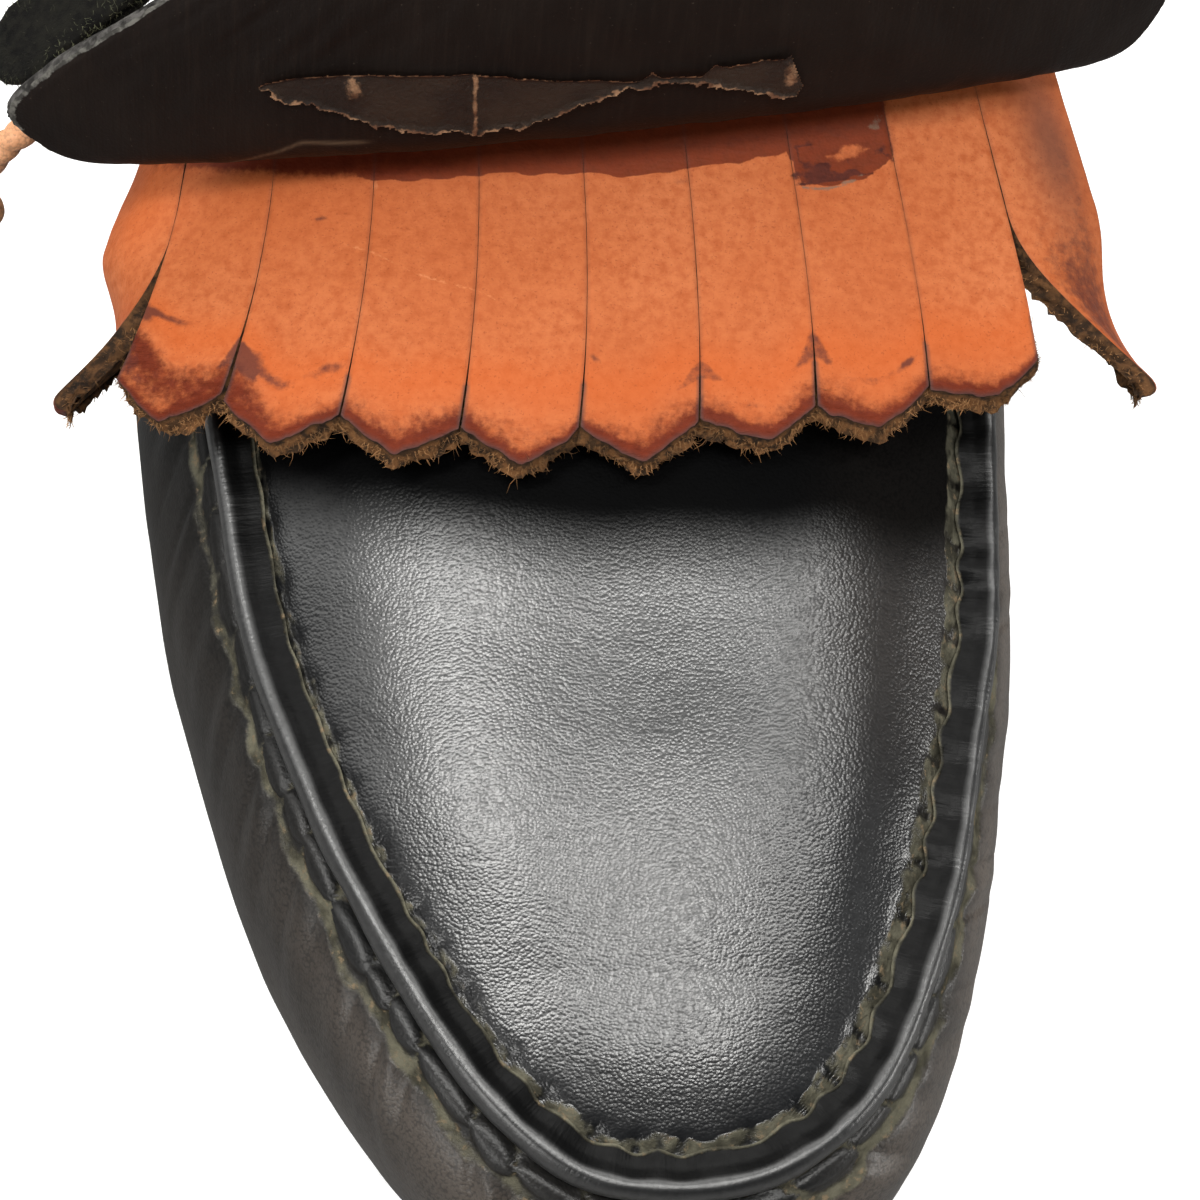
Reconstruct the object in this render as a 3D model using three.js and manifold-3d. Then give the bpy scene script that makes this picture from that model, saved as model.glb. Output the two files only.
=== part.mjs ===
// A right-foot kiltie loafer: black moccasin-toe upper with a raised rolled seam, a tan fringed kiltie over
// the vamp, a black flap folded up above it, and a black tassel on a tan lace behind the flap.
// Millimetres, +Z up, toe towards -Y, medial side towards +X. The origin is on the ground under the heel.
import * as THREE from "three";
import { mergeVertices } from "three/addons/utils/BufferGeometryUtils.js";
import Module from "manifold-3d";

const wasm = await Module();
wasm.setup();

// Sizes of the whole shoe.
const LENGTH = 300; // toe tip to heel back of the upper
const BALL_WIDTH = 105; // across the widest part of the upper
const INSTEP_HEIGHT = 74; // tallest section above the feather line
const SIDE_HEIGHT = 20; // height of the widest line above the feather line at the heel
const TOE_SPRING = 9;
const CLEARANCE = 0.3; // between pieces that meet

// Sole, heel and insole.
const SOLE_THICKNESS = 5;
const SOLE_INSET = 2.5; // sole edge inside the widest line of the upper
const HEEL_HEIGHT = 20; // ground to the underside of the sole
const HEEL_LENGTH = 62;
const HEEL_TAPER = 2; // how far the heel draws in from the sole edge at the ground
const LIFT_THICKNESS = 6;
const INSOLE_THICKNESS = 2;
const INSOLE_FIT = 0.8; // gap between insole and the wall around it

// Upper.
const WALL = 2.2; // leather and lining
const TUCK = 4; // how far the wall curves in under the foot
const TOE_ROUND_WIDTH = 58; // length over which the plan view rounds to the tip
const TOE_ROUND_HEIGHT = 26; // length over which the toe box rises
const TIP_FLAT = 0.1; // flat left at the very ends of the loft
const HEEL_ROUND = 36; // length over which the plan view rounds at the heel
const TOE_SQUARE = 2.35; // exponents of the rounded ends: toe in plan, heel in plan, toe in side view
const HEEL_SQUARE = 2.2;
const RISE_SQUARE = 2.3;
const HEEL_LEAN = 7; // how far the top of the heel leans forward
const THROAT_AT = 140; // from the toe tip to the front of the opening
const COLLAR_FRONT = 64; // heights of the topline above the ground
const COLLAR_SIDE = 59;
const COLLAR_BACK = 84;
const TONGUE_LENGTH = 27; // beyond the throat
const TONGUE_WIDTH = 48;

// Rolled seam around the apron.
const SEAM_FROM_TOE = 11.5;
const SEAM_FROM_EDGE = [11.2, 7.8]; // plan distances from the widest line, lateral and medial
const SEAM_END = 168; // from the toe tip, past the throat, where the topline cuts it off
const SEAM_ROUND = 58;
const SEAM_SQUARE = [2.2, 2.7]; // exponents of its curve at the toe, lateral and medial
const ROLL_WIDTH = 4.4;
const ROLL_HEIGHT = 3;
const ROLL_ROOT = 1.2; // depth of its foot in the wall

// Kiltie: ten strips with pointed ends, cut from one piece of leather.
const STRIPS = 10;
const KILTIE_LEATHER = 1.8;
const KILTIE_TOP_AT = 132; // from the toe tip to the sewn edge
const KILTIE_LENGTH = 50.5;
const KILTIE_BAND = 13; // uncut leather above the slits
const STRIP_TOP = 10.8; // strip width at the band
const STRIP_HEM = 12.9; // strip width at the hem
const STRIP_POINT = 3.6; // length of the pointed end
const SLIT = 0.6;
const KILTIE_LIFT = 5; // hem above the vamp
const HEM_SHORTER = 9.5; // side strips end this much before the middle ones

// Flap folded up at the throat.
const FLAP_LEATHER = 2;
const FLAP_HALF = 60; // half width at its widest
const FLAP_SEAT = 8; // length that lies on the kiltie's band
const FLAP_BEND = 12; // length of leather in the fold
const FLAP_RISE = 32; // length from the fold to the free end
const FLAP_LENGTH = FLAP_SEAT + FLAP_BEND + FLAP_RISE;
const FLAP_DROP = 10; // how far the ends of the fold hang below its middle
const FLAP_SWEEP = 8; // how far the ends of the fold lie behind its middle
const INSTEP_SLOPE = 0.27; // radians, where the seat lies
const FLAP_SEAT_BACK = 0.6; // from the kiltie's top edge to the flap's sewn edge
const FLAP_LIFT = 2; // room under the seat, which is flatter than the instep
const FLAP_TURN = 10; // degrees in plan, medial side towards the heel

// Half widths of the flap. at: share of FLAP_LENGTH from the sewn edge. The others: shares of FLAP_HALF.
const FLAP_OUTLINE = [
  { at: 0.0, lateral: 0.6, medial: 0.62 },
  { at: 0.15, lateral: 0.7, medial: 0.78 },
  { at: 0.27, lateral: 0.82, medial: 0.93 },
  { at: 0.4, lateral: 0.98, medial: 1.06 },
  { at: 0.5, lateral: 1.04, medial: 1.1 },
  { at: 0.6, lateral: 0.96, medial: 1.11 },
  { at: 0.7, lateral: 0.82, medial: 1.1 },
  { at: 0.85, lateral: 0.6, medial: 0.98 },
  { at: 1.0, lateral: 0.36, medial: 0.52 },
];

// The flap's side view: length of leather and turn in degrees of each stretch, from the sewn edge.
const FLAP_BENDS = [
  { run: FLAP_SEAT, turn: 0 },
  { run: FLAP_BEND, turn: 118 },
  { run: FLAP_RISE * 0.45, turn: 12 },
  { run: FLAP_RISE * 0.55, turn: 34 },
];

// Lace and tassel, on the lateral side behind the flap.
const LACE_WIDTH = 3.6;
const TASSEL_WIDTH = 9;
const STRAND_WIDTH = 10;
const STRAND_ROOT = 0.55; // width at the head as a share of the full width
const STRAND_LEATHER = 1.8;
const STRAND_ARCH = 3; // how far a strand bows up on its way

// Places beside the shoe. out: share of BALL_WIDTH from the middle line, lateral side. at: share of LENGTH
// from the toe tip. height: share of INSTEP_HEIGHT above the ground. The lace leaves the quarter and hangs
// free. The tassel lies on the throat's shoulder.
const LACE_PATH = [
  { out: 0.503, at: 0.48, height: 0.568 },
  { out: 0.552, at: 0.467, height: 0.581 },
  { out: 0.595, at: 0.45, height: 0.581 },
  { out: 0.633, at: 0.432, height: 0.574 },
  { out: 0.667, at: 0.418, height: 0.541 },
  { out: 0.686, at: 0.413, height: 0.473 },
  { out: 0.69, at: 0.415, height: 0.399 },
];
const TASSEL_START = { out: 0.362, at: 0.513, height: 0.95 };
const TASSEL_NECK = { out: 0.419, at: 0.494, height: 0.85 };
const STRAND_ENDS = [
  { out: 0.667, at: 0.437, height: 0.695 },
  { out: 0.648, at: 0.467, height: 0.67 },
  { out: 0.59, at: 0.493, height: 0.64 },
  { out: 0.638, at: 0.453, height: 0.665 },
];

const HEEL_MIDDLE = LENGTH - SOLE_INSET - HEEL_LENGTH / 2; // from the toe tip
const FEATHER = SOLE_THICKNESS + CLEARANCE; // underside of the upper on flat ground

// Sections of the last. at: share of LENGTH from the toe tip. swing, lateral and medial: centre line and
// half widths as shares of BALL_WIDTH. crown: share of INSTEP_HEIGHT. widest: share of SIDE_HEIGHT.
const SECTIONS = [
  { at: 0.0, swing: 0.1, lateral: 0.315, medial: 0.385, crown: 0.36, widest: 0.45, square: 2.7 },
  { at: 0.083, swing: 0.085, lateral: 0.375, medial: 0.39, crown: 0.48, widest: 0.5, square: 2.6 },
  { at: 0.167, swing: 0.06, lateral: 0.434, medial: 0.42, crown: 0.585, widest: 0.53, square: 2.5 },
  { at: 0.267, swing: 0.036, lateral: 0.507, medial: 0.46, crown: 0.67, widest: 0.56, square: 2.4 },
  { at: 0.367, swing: 0.012, lateral: 0.54, medial: 0.47, crown: 0.75, widest: 0.6, square: 2.25 },
  { at: 0.467, swing: 0.0, lateral: 0.527, medial: 0.435, crown: 0.86, widest: 0.7, square: 2.15 },
  { at: 0.567, swing: -0.01, lateral: 0.465, medial: 0.38, crown: 0.95, widest: 0.8, square: 2.2 },
  { at: 0.667, swing: -0.01, lateral: 0.4, medial: 0.345, crown: 1.0, widest: 0.9, square: 2.5 },
  { at: 0.767, swing: -0.005, lateral: 0.357, medial: 0.333, crown: 1.0, widest: 1.0, square: 2.8 },
  { at: 0.867, swing: 0.0, lateral: 0.338, medial: 0.329, crown: 0.99, widest: 1.0, square: 3.0 },
  { at: 1.0, swing: 0.0, lateral: 0.329, medial: 0.324, crown: 0.99, widest: 1.0, square: 3.0 },
];

// Underside of the last. spring: share of TOE_SPRING. pitch: share of HEEL_HEIGHT.
const BOTTOM = [
  { at: 0.0, spring: 1.0, pitch: 0.0 },
  { at: 0.083, spring: 0.46, pitch: 0.0 },
  { at: 0.167, spring: 0.14, pitch: 0.0 },
  { at: 0.24, spring: 0.0, pitch: 0.0 },
  { at: 0.4, spring: 0.0, pitch: 0.0 },
  { at: 0.467, spring: 0.0, pitch: 0.1 },
  { at: 0.567, spring: 0.0, pitch: 0.4 },
  { at: 0.667, spring: 0.0, pitch: 0.74 },
  { at: 0.78, spring: 0.0, pitch: 1.0 },
  { at: 1.0, spring: 0.0, pitch: 1.0 },
];

// Topline from the throat to the heel: share of the opening's length, and shares of the three heights.
const TOPLINE = [
  { along: 0.0, front: 1.0, side: 0.0, back: 0.0 },
  { along: 0.16, front: 0.35, side: 0.65, back: 0.0 },
  { along: 0.36, front: 0.0, side: 1.0, back: 0.0 },
  { along: 0.6, front: 0.0, side: 0.85, back: 0.15 },
  { along: 0.85, front: 0.0, side: 0.2, back: 0.8 },
  { along: 1.0, front: 0.0, side: 0.0, back: 1.0 },
];

const toY = (fromToe) => fromToe - HEEL_MIDDLE;
const mix = (a, b, t) => a + (b - a) * t;
const smooth = (t) => {
  const s = Math.min(Math.max(t, 0), 1);
  return s * s * (3 - 2 * s);
};

// A column of a table at one place, along a curve that doesn't overshoot its rows.
function tableValue(rows, key, column, place) {
  const last = rows.length - 1;
  const clamped = Math.min(Math.max(place, rows[0][key]), rows[last][key]);
  let i = 0;
  while (i < last - 1 && clamped > rows[i + 1][key]) i++;
  const slope = (k) => (rows[k + 1][column] - rows[k][column]) / (rows[k + 1][key] - rows[k][key]);
  const tangent = (k) => {
    if (k === 0) return slope(0);
    if (k === last) return slope(last - 1);
    const [before, after] = [slope(k - 1), slope(k)];
    return before * after <= 0 ? 0 : (2 * before * after) / (before + after);
  };
  const step = rows[i + 1][key] - rows[i][key];
  const t = (clamped - rows[i][key]) / step;
  const rise = t * t * (3 - 2 * t);
  const leave = t * (1 - t) * (1 - t) * step * tangent(i);
  const arrive = t * t * (1 - t) * step * tangent(i + 1);
  return mix(rows[i][column], rows[i + 1][column], rise) + leave - arrive;
}

// Grows from 0 at an end to 1 at distance reach, along a superellipse.
function roundedEnd(distance, reach, square) {
  const left = 1 - Math.min(Math.max(distance / reach, 0), 1);
  return (1 - left ** square) ** (1 / square);
}

function featherHeight(fromToe) {
  const at = fromToe / LENGTH;
  const spring = TOE_SPRING * tableValue(BOTTOM, "at", "spring", at);
  return FEATHER + spring + HEEL_HEIGHT * tableValue(BOTTOM, "at", "pitch", at);
}

// The section of the last at one distance from the toe tip.
function section(fromToe) {
  const value = (column) => tableValue(SECTIONS, "at", column, fromToe / LENGTH);
  const toHeel = LENGTH - fromToe;
  const heelPlan = roundedEnd(toHeel, HEEL_ROUND, HEEL_SQUARE);
  const plan = roundedEnd(fromToe, TOE_ROUND_WIDTH, TOE_SQUARE) * heelPlan;
  const feather = featherHeight(fromToe);
  const widest = feather + SIDE_HEIGHT * value("widest");
  const crown = feather + INSTEP_HEIGHT * value("crown") - widest;
  const tuckEnds = roundedEnd(fromToe, 1.5 * TUCK, 2);
  return {
    middle: BALL_WIDTH * value("swing"),
    lateral: BALL_WIDTH * value("lateral") * plan,
    medial: BALL_WIDTH * value("medial") * plan,
    plan,
    widest,
    bottom: mix(widest, feather, tuckEnds),
    top: widest + crown * roundedEnd(fromToe, TOE_ROUND_HEIGHT, RISE_SQUARE),
    square: value("square"),
  };
}

// Height of the last over a point of the plan, above the widest line.
function vampHeight(x, fromToe) {
  const s = section(fromToe);
  const half = x < s.middle ? s.lateral : s.medial;
  const out = Math.min(Math.abs(x - s.middle) / half, 1);
  return s.widest + (s.top - s.widest) * (1 - out ** s.square) ** (1 / s.square);
}

// Lowest height at which leather clears the vamp and, towards the sides, its roll.
function clearHeight(x, fromToe) {
  const s = section(fromToe);
  const out = Math.abs(x - s.middle) / (x < s.middle ? s.lateral : s.medial);
  return vampHeight(x, fromToe) + 2 * CLEARANCE + (ROLL_HEIGHT + 3 * CLEARANCE) * smooth((out - 0.42) / 0.2);
}

function vampPoint(x, fromToe) {
  return new THREE.Vector3(x, toY(fromToe), vampHeight(x, fromToe));
}

function vampNormal(x, fromToe) {
  const reach = 0.5;
  const across = vampPoint(x + reach, fromToe).sub(vampPoint(x - reach, fromToe));
  const along = vampPoint(x, fromToe + reach).sub(vampPoint(x, fromToe - reach));
  return across.cross(along).normalize();
}

// The heel's back leans forward towards the topline and in towards the sole.
function heelShift(fromToe, z) {
  const share = smooth((fromToe - (LENGTH - 2 * HEEL_ROUND)) / (2 * HEEL_ROUND));
  const up = (z - FEATHER - HEEL_HEIGHT - SIDE_HEIGHT) / (COLLAR_BACK - FEATHER - HEEL_HEIGHT - SIDE_HEIGHT);
  return -HEEL_LEAN * share * up * up * (up > 0 ? 1 : 0.4);
}

const ARCH_STEPS = 26;
const TUCK_STEPS = 2;

// One closed loop around the last: up the lateral side, over the top and down the medial side.
function lastLoop(fromToe, inward, drop) {
  const s = section(((fromToe - inward) / (LENGTH - 2 * inward)) * LENGTH);
  const points = [];
  const add = (x, z) => points.push(new THREE.Vector3(x, toY(fromToe) + heelShift(fromToe, z), z));
  const half = (side) => (side < 0 ? s.lateral : s.medial) - inward * s.plan;
  const tuck = (side, step) => {
    const down = step / TUCK_STEPS;
    const tucked = TUCK * s.plan * (1 - Math.sqrt(1 - down * down));
    add(s.middle + side * Math.max(half(side) - tucked, 0), mix(s.widest, s.bottom - drop, down));
  };
  for (let i = TUCK_STEPS; i > 0; i--) tuck(-1, i);
  for (let i = 0; i <= ARCH_STEPS; i++) {
    const angle = Math.PI * (1 - i / ARCH_STEPS);
    const cosine = Math.cos(angle);
    const power = 2 / s.square;
    const side = i < ARCH_STEPS / 2 ? -1 : 1;
    const over = i * 2 === ARCH_STEPS ? 0 : half(side) * Math.abs(cosine) ** power;
    const rise = Math.max(s.top - s.widest - inward, 0) * Math.abs(Math.sin(angle)) ** power;
    add(s.middle + side * over, s.widest + (i === 0 || i === ARCH_STEPS ? 0 : rise));
  }
  for (let i = 1; i <= TUCK_STEPS; i++) tuck(1, i);
  return points;
}

// Distances from the toe tip of the loft's stations, close together where the two ends turn.
function stations(from, to, toeSteps, middleSteps, heelSteps) {
  const toeEnd = from + TOE_ROUND_WIDTH;
  const heelStart = to - HEEL_ROUND;
  const turn = (share) => 1 - Math.cos((Math.PI / 2) * share);
  const toe = Array.from({ length: toeSteps }, (_, i) => from + TOE_ROUND_WIDTH * turn(i / toeSteps));
  const middle = Array.from({ length: middleSteps }, (_, i) => mix(toeEnd, heelStart, i / middleSteps));
  const heel = Array.from({ length: heelSteps + 1 }, (_, i) => to - HEEL_ROUND * turn(1 - i / heelSteps));
  return [...toe, ...middle, ...heel];
}

function geometryOf(vertices, triangles) {
  const made = new THREE.BufferGeometry();
  const places = vertices.flatMap((v) => [v.x, v.y, v.z]);
  made.setAttribute("position", new THREE.Float32BufferAttribute(places, 3));
  made.setIndex(triangles);
  return made;
}

function closedSolid(geometry) {
  const bare = geometry.clone();
  for (const name of Object.keys(bare.attributes)) if (name !== "position") bare.deleteAttribute(name);
  const merged = mergeVertices(bare, 1e-3);
  const mesh = new wasm.Mesh({
    numProp: 3,
    vertProperties: new Float32Array(merged.attributes.position.array),
    triVerts: new Uint32Array(merged.index.array),
  });
  return new wasm.Manifold(mesh);
}

function geometryOfSolid(solid) {
  const { vertProperties, triVerts } = solid.simplify(0.01).getMesh();
  const made = new THREE.BufferGeometry();
  made.setAttribute("position", new THREE.Float32BufferAttribute(vertProperties, 3));
  made.setIndex([...triVerts]);
  return made;
}

// A solid through closed loops of equal length. Its caps run between the two halves of a loop, so they can
// curve.
function loft(loops) {
  const size = loops[0].length;
  const triangles = [];
  for (let i = 0; i + 1 < loops.length; i++) {
    for (let j = 0; j < size; j++) {
      const [a, b] = [i * size + j, i * size + ((j + 1) % size)];
      triangles.push(a, b, b + size, a, b + size, a + size);
    }
  }
  const end = (loops.length - 1) * size;
  for (let j = 0; j + 1 < size - 1 - j; j++) {
    const [a, b, c, d] = [j, j + 1, size - 2 - j, size - 1 - j];
    triangles.push(a, d, c, end + a, end + c, end + d);
    if (b !== c) triangles.push(a, c, b, end + a, end + b, end + c);
  }
  return geometryOf(loops.flat(), triangles);
}

// A curved sheet with thickness. point(i, j, face) gives both faces, and open(i, j) leaves cells out.
function sheet(columns, rows, point, open = () => false) {
  const vertices = [];
  for (const face of [0, 1])
    for (let j = 0; j <= rows; j++) for (let i = 0; i <= columns; i++) vertices.push(point(i, j, face));
  const layer = (columns + 1) * (rows + 1);
  const at = (i, j) => j * (columns + 1) + i;
  const filled = (i, j) => i >= 0 && j >= 0 && i < columns && j < rows && !open(i, j);
  const triangles = [];
  const quad = (a, b, c, d) => triangles.push(a, b, c, a, c, d);
  for (let j = 0; j < rows; j++) {
    for (let i = 0; i < columns; i++) {
      if (!filled(i, j)) continue;
      const [a, b, c, d] = [at(i, j), at(i + 1, j), at(i + 1, j + 1), at(i, j + 1)];
      quad(a, b, c, d);
      quad(d + layer, c + layer, b + layer, a + layer);
      if (!filled(i, j - 1)) quad(a, a + layer, b + layer, b);
      if (!filled(i + 1, j)) quad(b, b + layer, c + layer, c);
      if (!filled(i, j + 1)) quad(c, c + layer, d + layer, d);
      if (!filled(i - 1, j)) quad(d, d + layer, a + layer, a);
    }
  }
  return geometryOf(vertices, triangles);
}

// Plan half width of the sole side of the shoe at one station, drawn in from the widest line.
function edgeAt(fromToe, inset, side) {
  const reach = LENGTH - 2 * inset;
  const s = section(((fromToe - inset) / reach) * LENGTH);
  const half = side < 0 ? s.lateral : s.medial;
  return s.middle + side * Math.max(half - inset * s.plan, 0);
}

// A flat-sided layer between two heights, following the plan of the shoe.
function layer(inset, low, high) {
  const loops = stations(inset, LENGTH - inset, 12, 16, 8).map((fromToe) => {
    const y = toY(fromToe);
    const [left, right] = [-1, 1].map((side) => edgeAt(fromToe, inset, side));
    const [below, above] = [low(fromToe), high(fromToe)];
    return [
      new THREE.Vector3(left, y, below),
      new THREE.Vector3(left, y, above),
      new THREE.Vector3(right, y, above),
      new THREE.Vector3(right, y, below),
    ];
  });
  return loft(loops);
}

function makeOutsole() {
  const top = (fromToe) => featherHeight(fromToe) - CLEARANCE;
  return layer(SOLE_INSET, (fromToe) => top(fromToe) - SOLE_THICKNESS, top);
}

// The heel between two heights. Its sides draw in towards the ground, and its breast is flat.
function makeHeelLayer(low, high) {
  const count = 14;
  const from = LENGTH - SOLE_INSET - HEEL_LENGTH;
  const back = LENGTH - SOLE_INSET;
  const ring = (z) => {
    const drawnIn = SOLE_INSET + HEEL_TAPER * (1 - z / HEEL_HEIGHT);
    const end = back - (drawnIn - SOLE_INSET);
    const turn = (i) => Math.sin((Math.PI / 2) * (i / count));
    const along = Array.from({ length: count + 1 }, (_, i) => mix(from, end, turn(i)));
    const side = (s) => along.map((f) => new THREE.Vector3(edgeAt(f, drawnIn, s), toY(f), z));
    return [...side(1), ...side(-1).reverse().slice(1)];
  };
  return loft([ring(low), ring(high)]);
}

function makeInsole() {
  const inset = WALL + INSOLE_FIT + TUCK;
  return layer(inset, featherHeight, (fromToe) => featherHeight(fromToe) + INSOLE_THICKNESS);
}

function lastSolid(inward, drop) {
  const ends = inward + TIP_FLAT;
  const along = stations(ends, LENGTH - ends, 10, 18, 8);
  return closedSolid(loft(along.map((fromToe) => lastLoop(fromToe, inward, drop))));
}

function toplineHeight(along) {
  const share = (column) => tableValue(TOPLINE, "along", column, along);
  return COLLAR_FRONT * share("front") + COLLAR_SIDE * share("side") + COLLAR_BACK * share("back");
}

// A flat outline pushed straight across the shoe along X.
function acrossShoe(outline, halfWidth) {
  const shape = new THREE.Shape(outline.map(([y, z]) => new THREE.Vector2(y, z)));
  const block = new THREE.ExtrudeGeometry(shape, { depth: 2 * halfWidth, bevelEnabled: false });
  const turn = new THREE.Matrix4().makeBasis(
    new THREE.Vector3(0, 1, 0),
    new THREE.Vector3(0, 0, 1),
    new THREE.Vector3(1, 0, 0),
  );
  return block.applyMatrix4(turn).translate(-halfWidth, 0, 0);
}

// What is taken away for the foot: all above the topline, except the tongue.
function openingSolid() {
  const above = 2 * COLLAR_BACK;
  const steps = 20;
  const behind = LENGTH + HEEL_ROUND;
  const outline = Array.from({ length: steps + 1 }, (_, i) => {
    const along = i / steps;
    return [toY(mix(THROAT_AT, LENGTH, along)), toplineHeight(along)];
  });
  outline.push([toY(behind), COLLAR_BACK], [toY(behind), above], [toY(THROAT_AT), above]);
  const opening = closedSolid(acrossShoe(outline, BALL_WIDTH));

  const half = TONGUE_WIDTH / 2;
  const tip = toY(THROAT_AT + TONGUE_LENGTH);
  const plan = new THREE.Shape();
  plan.moveTo(-half, toY(THROAT_AT) - TONGUE_LENGTH);
  plan.lineTo(half, toY(THROAT_AT) - TONGUE_LENGTH);
  plan.lineTo(half * 0.92, tip - half * 0.7);
  plan.quadraticCurveTo(half * 0.8, tip, 0, tip);
  plan.quadraticCurveTo(-half * 0.8, tip, -half * 0.92, tip - half * 0.7);
  const tongue = new THREE.ExtrudeGeometry(plan, { depth: above, bevelEnabled: false, curveSegments: 5 });
  return opening.subtract(closedSolid(tongue));
}

// Plan place of the rolled seam on one side, at a share of the way from the toe to its end.
function seamPlace(side, share) {
  const fromToe = mix(SEAM_FROM_TOE, SEAM_END, share ** 1.8);
  const s = section(fromToe);
  const half = (side < 0 ? s.lateral : s.medial) / Math.max(s.plan, 1e-6);
  const [margin, square] = [SEAM_FROM_EDGE, SEAM_SQUARE].map((pair) => pair[side < 0 ? 0 : 1]);
  const inner = (half - margin) * roundedEnd(fromToe - SEAM_FROM_TOE, SEAM_ROUND, square);
  return [s.middle + side * inner, fromToe];
}

// The roll stands on the vamp along the seam, as a rounded bead.
function rollSolid() {
  const steps = 30;
  const places = [];
  for (let i = steps; i > 0; i--) places.push(seamPlace(-1, i / steps));
  for (let i = 0; i <= steps; i++) places.push(seamPlace(1, i / steps));
  const centres = places.map(([x, fromToe]) => vampPoint(x, fromToe));
  const loops = places.map(([x, fromToe], i) => {
    const along = centres[Math.min(i + 1, centres.length - 1)].clone().sub(centres[Math.max(i - 1, 0)]);
    const up = vampNormal(x, fromToe);
    const out = along.normalize().cross(up).normalize();
    const sides = 6;
    return Array.from({ length: sides + 1 }, (_, k) => {
      const angle = (Math.PI * k) / sides;
      const wide = (-Math.cos(angle) * ROLL_WIDTH) / 2;
      const high = k === 0 || k === sides ? -ROLL_ROOT : Math.sin(angle) * ROLL_HEIGHT;
      return centres[i].clone().addScaledVector(out, wide).addScaledVector(up, high);
    });
  });
  return closedSolid(loft(loops));
}

function makeUpper() {
  const below = SOLE_THICKNESS; // the cavity runs out through the bottom
  const shell = lastSolid(0, 0).add(rollSolid()).subtract(lastSolid(WALL, below));
  return geometryOfSolid(shell.subtract(openingSolid()));
}

// A point of a sheet draped over the instep: across is a distance along the leather from the middle, and
// turn gives the slope there. The sum of short steps keeps the leather's own length.
function drape(across, turn) {
  const steps = 16;
  const side = Math.sign(across);
  let [x, z] = [0, 0];
  for (let i = 0; i < steps; i++) {
    const angle = turn((Math.abs(across) * (i + 0.5)) / steps);
    x += (side * Math.cos(angle) * Math.abs(across)) / steps;
    z -= (Math.sin(angle) * Math.abs(across)) / steps;
  }
  return [x, z];
}

// Slopes of the kiltie in radians, at its band and at its hem: where the outer strips begin, and at their
// edge.
const INNER_SLOPE = [0.65, 0.5];
const EDGE_SLOPE = [1.1, 1.35];
const MEDIAL_SLOPE = 0.55; // slopes on the medial side, as a share of the lateral ones
const KILTIE_TURN = [12, 5.5]; // degrees, band and hem, medial side towards the heel
const KILTIE_SWEEP = 6; // how far the sides lie behind the middle
const KILTIE_SWING = -6.5; // middle of the kiltie, towards the medial side
const HEM_PLAN_SHARE = 0.9; // length in plan as a share of the leather's length

// A point on the kiltie: across in strips from the middle, down as a share of its length.
function kiltiePoint(strips, down, extra, raise) {
  const width = mix(STRIP_TOP, STRIP_HEM, down);
  const inner = (STRIPS / 2 - 1) * width;
  const [start, edge] = [INNER_SLOPE, EDGE_SLOPE].map(([band, hem]) => mix(band, hem, down));
  const flatter = strips < 0 ? 1 : MEDIAL_SLOPE;
  const turn = (s) => {
    const slope = s < inner ? start * (s / inner) ** 1.5 : mix(start, edge, smooth((s - inner) / width));
    return slope * flatter;
  };
  const [across, drop] = drape(strips * width, turn);
  const sideways = (strips / (STRIPS / 2)) ** 2;
  const behind = (HEM_SHORTER * down + KILTIE_SWEEP) * sideways;
  const forward = (KILTIE_LENGTH * down + extra) * HEM_PLAN_SHARE - behind;
  const plan = THREE.MathUtils.degToRad(mix(...KILTIE_TURN, down));
  const tilt = turn(Math.abs(strips * width)) * Math.sign(strips);
  const place = (out) => [
    KILTIE_SWING + out * Math.cos(plan) + forward * Math.sin(plan),
    KILTIE_TOP_AT + out * Math.sin(plan) - forward * Math.cos(plan),
  ];
  const [underX, underFromToe] = place(across);
  const hang = section(underFromToe).top + CLEARANCE + KILTIE_LIFT * down ** 1.5 + drop;
  const lift = Math.max(hang, clearHeight(underX, underFromToe)) - hang;
  const [x, fromToe] = place(across + raise * Math.sin(tilt));
  return new THREE.Vector3(x, toY(fromToe), hang + lift + raise * Math.cos(tilt));
}

function makeKiltie() {
  const parts = 2; // columns in each strip
  const columns = STRIPS * (parts + 1) - 1;
  const rows = 8;
  const point = (i, j, face) => {
    const strip = Math.floor(i / (parts + 1));
    const column = i % (parts + 1);
    const slit = SLIT / 2 / STRIP_HEM;
    const inStrip = column / parts;
    const place = strip + mix(strip ? slit : 0, strip < STRIPS - 1 ? 1 - slit : 1, inStrip);
    const down = j === 0 ? 0 : mix(KILTIE_BAND / KILTIE_LENGTH, 1, (j - 1) / (rows - 1));
    const tip = STRIP_POINT * (1 - Math.abs(2 * inStrip - 1)) * down ** 3;
    return kiltiePoint(place - STRIPS / 2, down, tip, face === 0 ? KILTIE_LEATHER : 0);
  };
  const open = (i, j) => i % (parts + 1) === parts && j > 0;
  const turned = (i, j, face) => point(columns - i, j, face);
  return sheet(columns, rows, turned, (i, j) => open(columns - 1 - i, j));
}

// Follows the bends and gives the place and direction at one length along the flap.
function flapSide(length) {
  const step = 0.25;
  const start = Math.PI + INSTEP_SLOPE; // forwards and down the instep
  let [along, forward, up, angle] = [0, 0, 0, start];
  while (along < length - 1e-9) {
    let [bend, before] = [0, 0];
    while (bend < FLAP_BENDS.length - 1 && along >= before + FLAP_BENDS[bend].run - 1e-9) {
      before += FLAP_BENDS[bend].run;
      bend++;
    }
    const piece = Math.min(step, length - along);
    angle -= (THREE.MathUtils.degToRad(FLAP_BENDS[bend].turn) * piece) / FLAP_BENDS[bend].run;
    forward += Math.cos(angle) * piece;
    up += Math.sin(angle) * piece;
    along += piece;
  }
  return { forward, up, angle };
}

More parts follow.
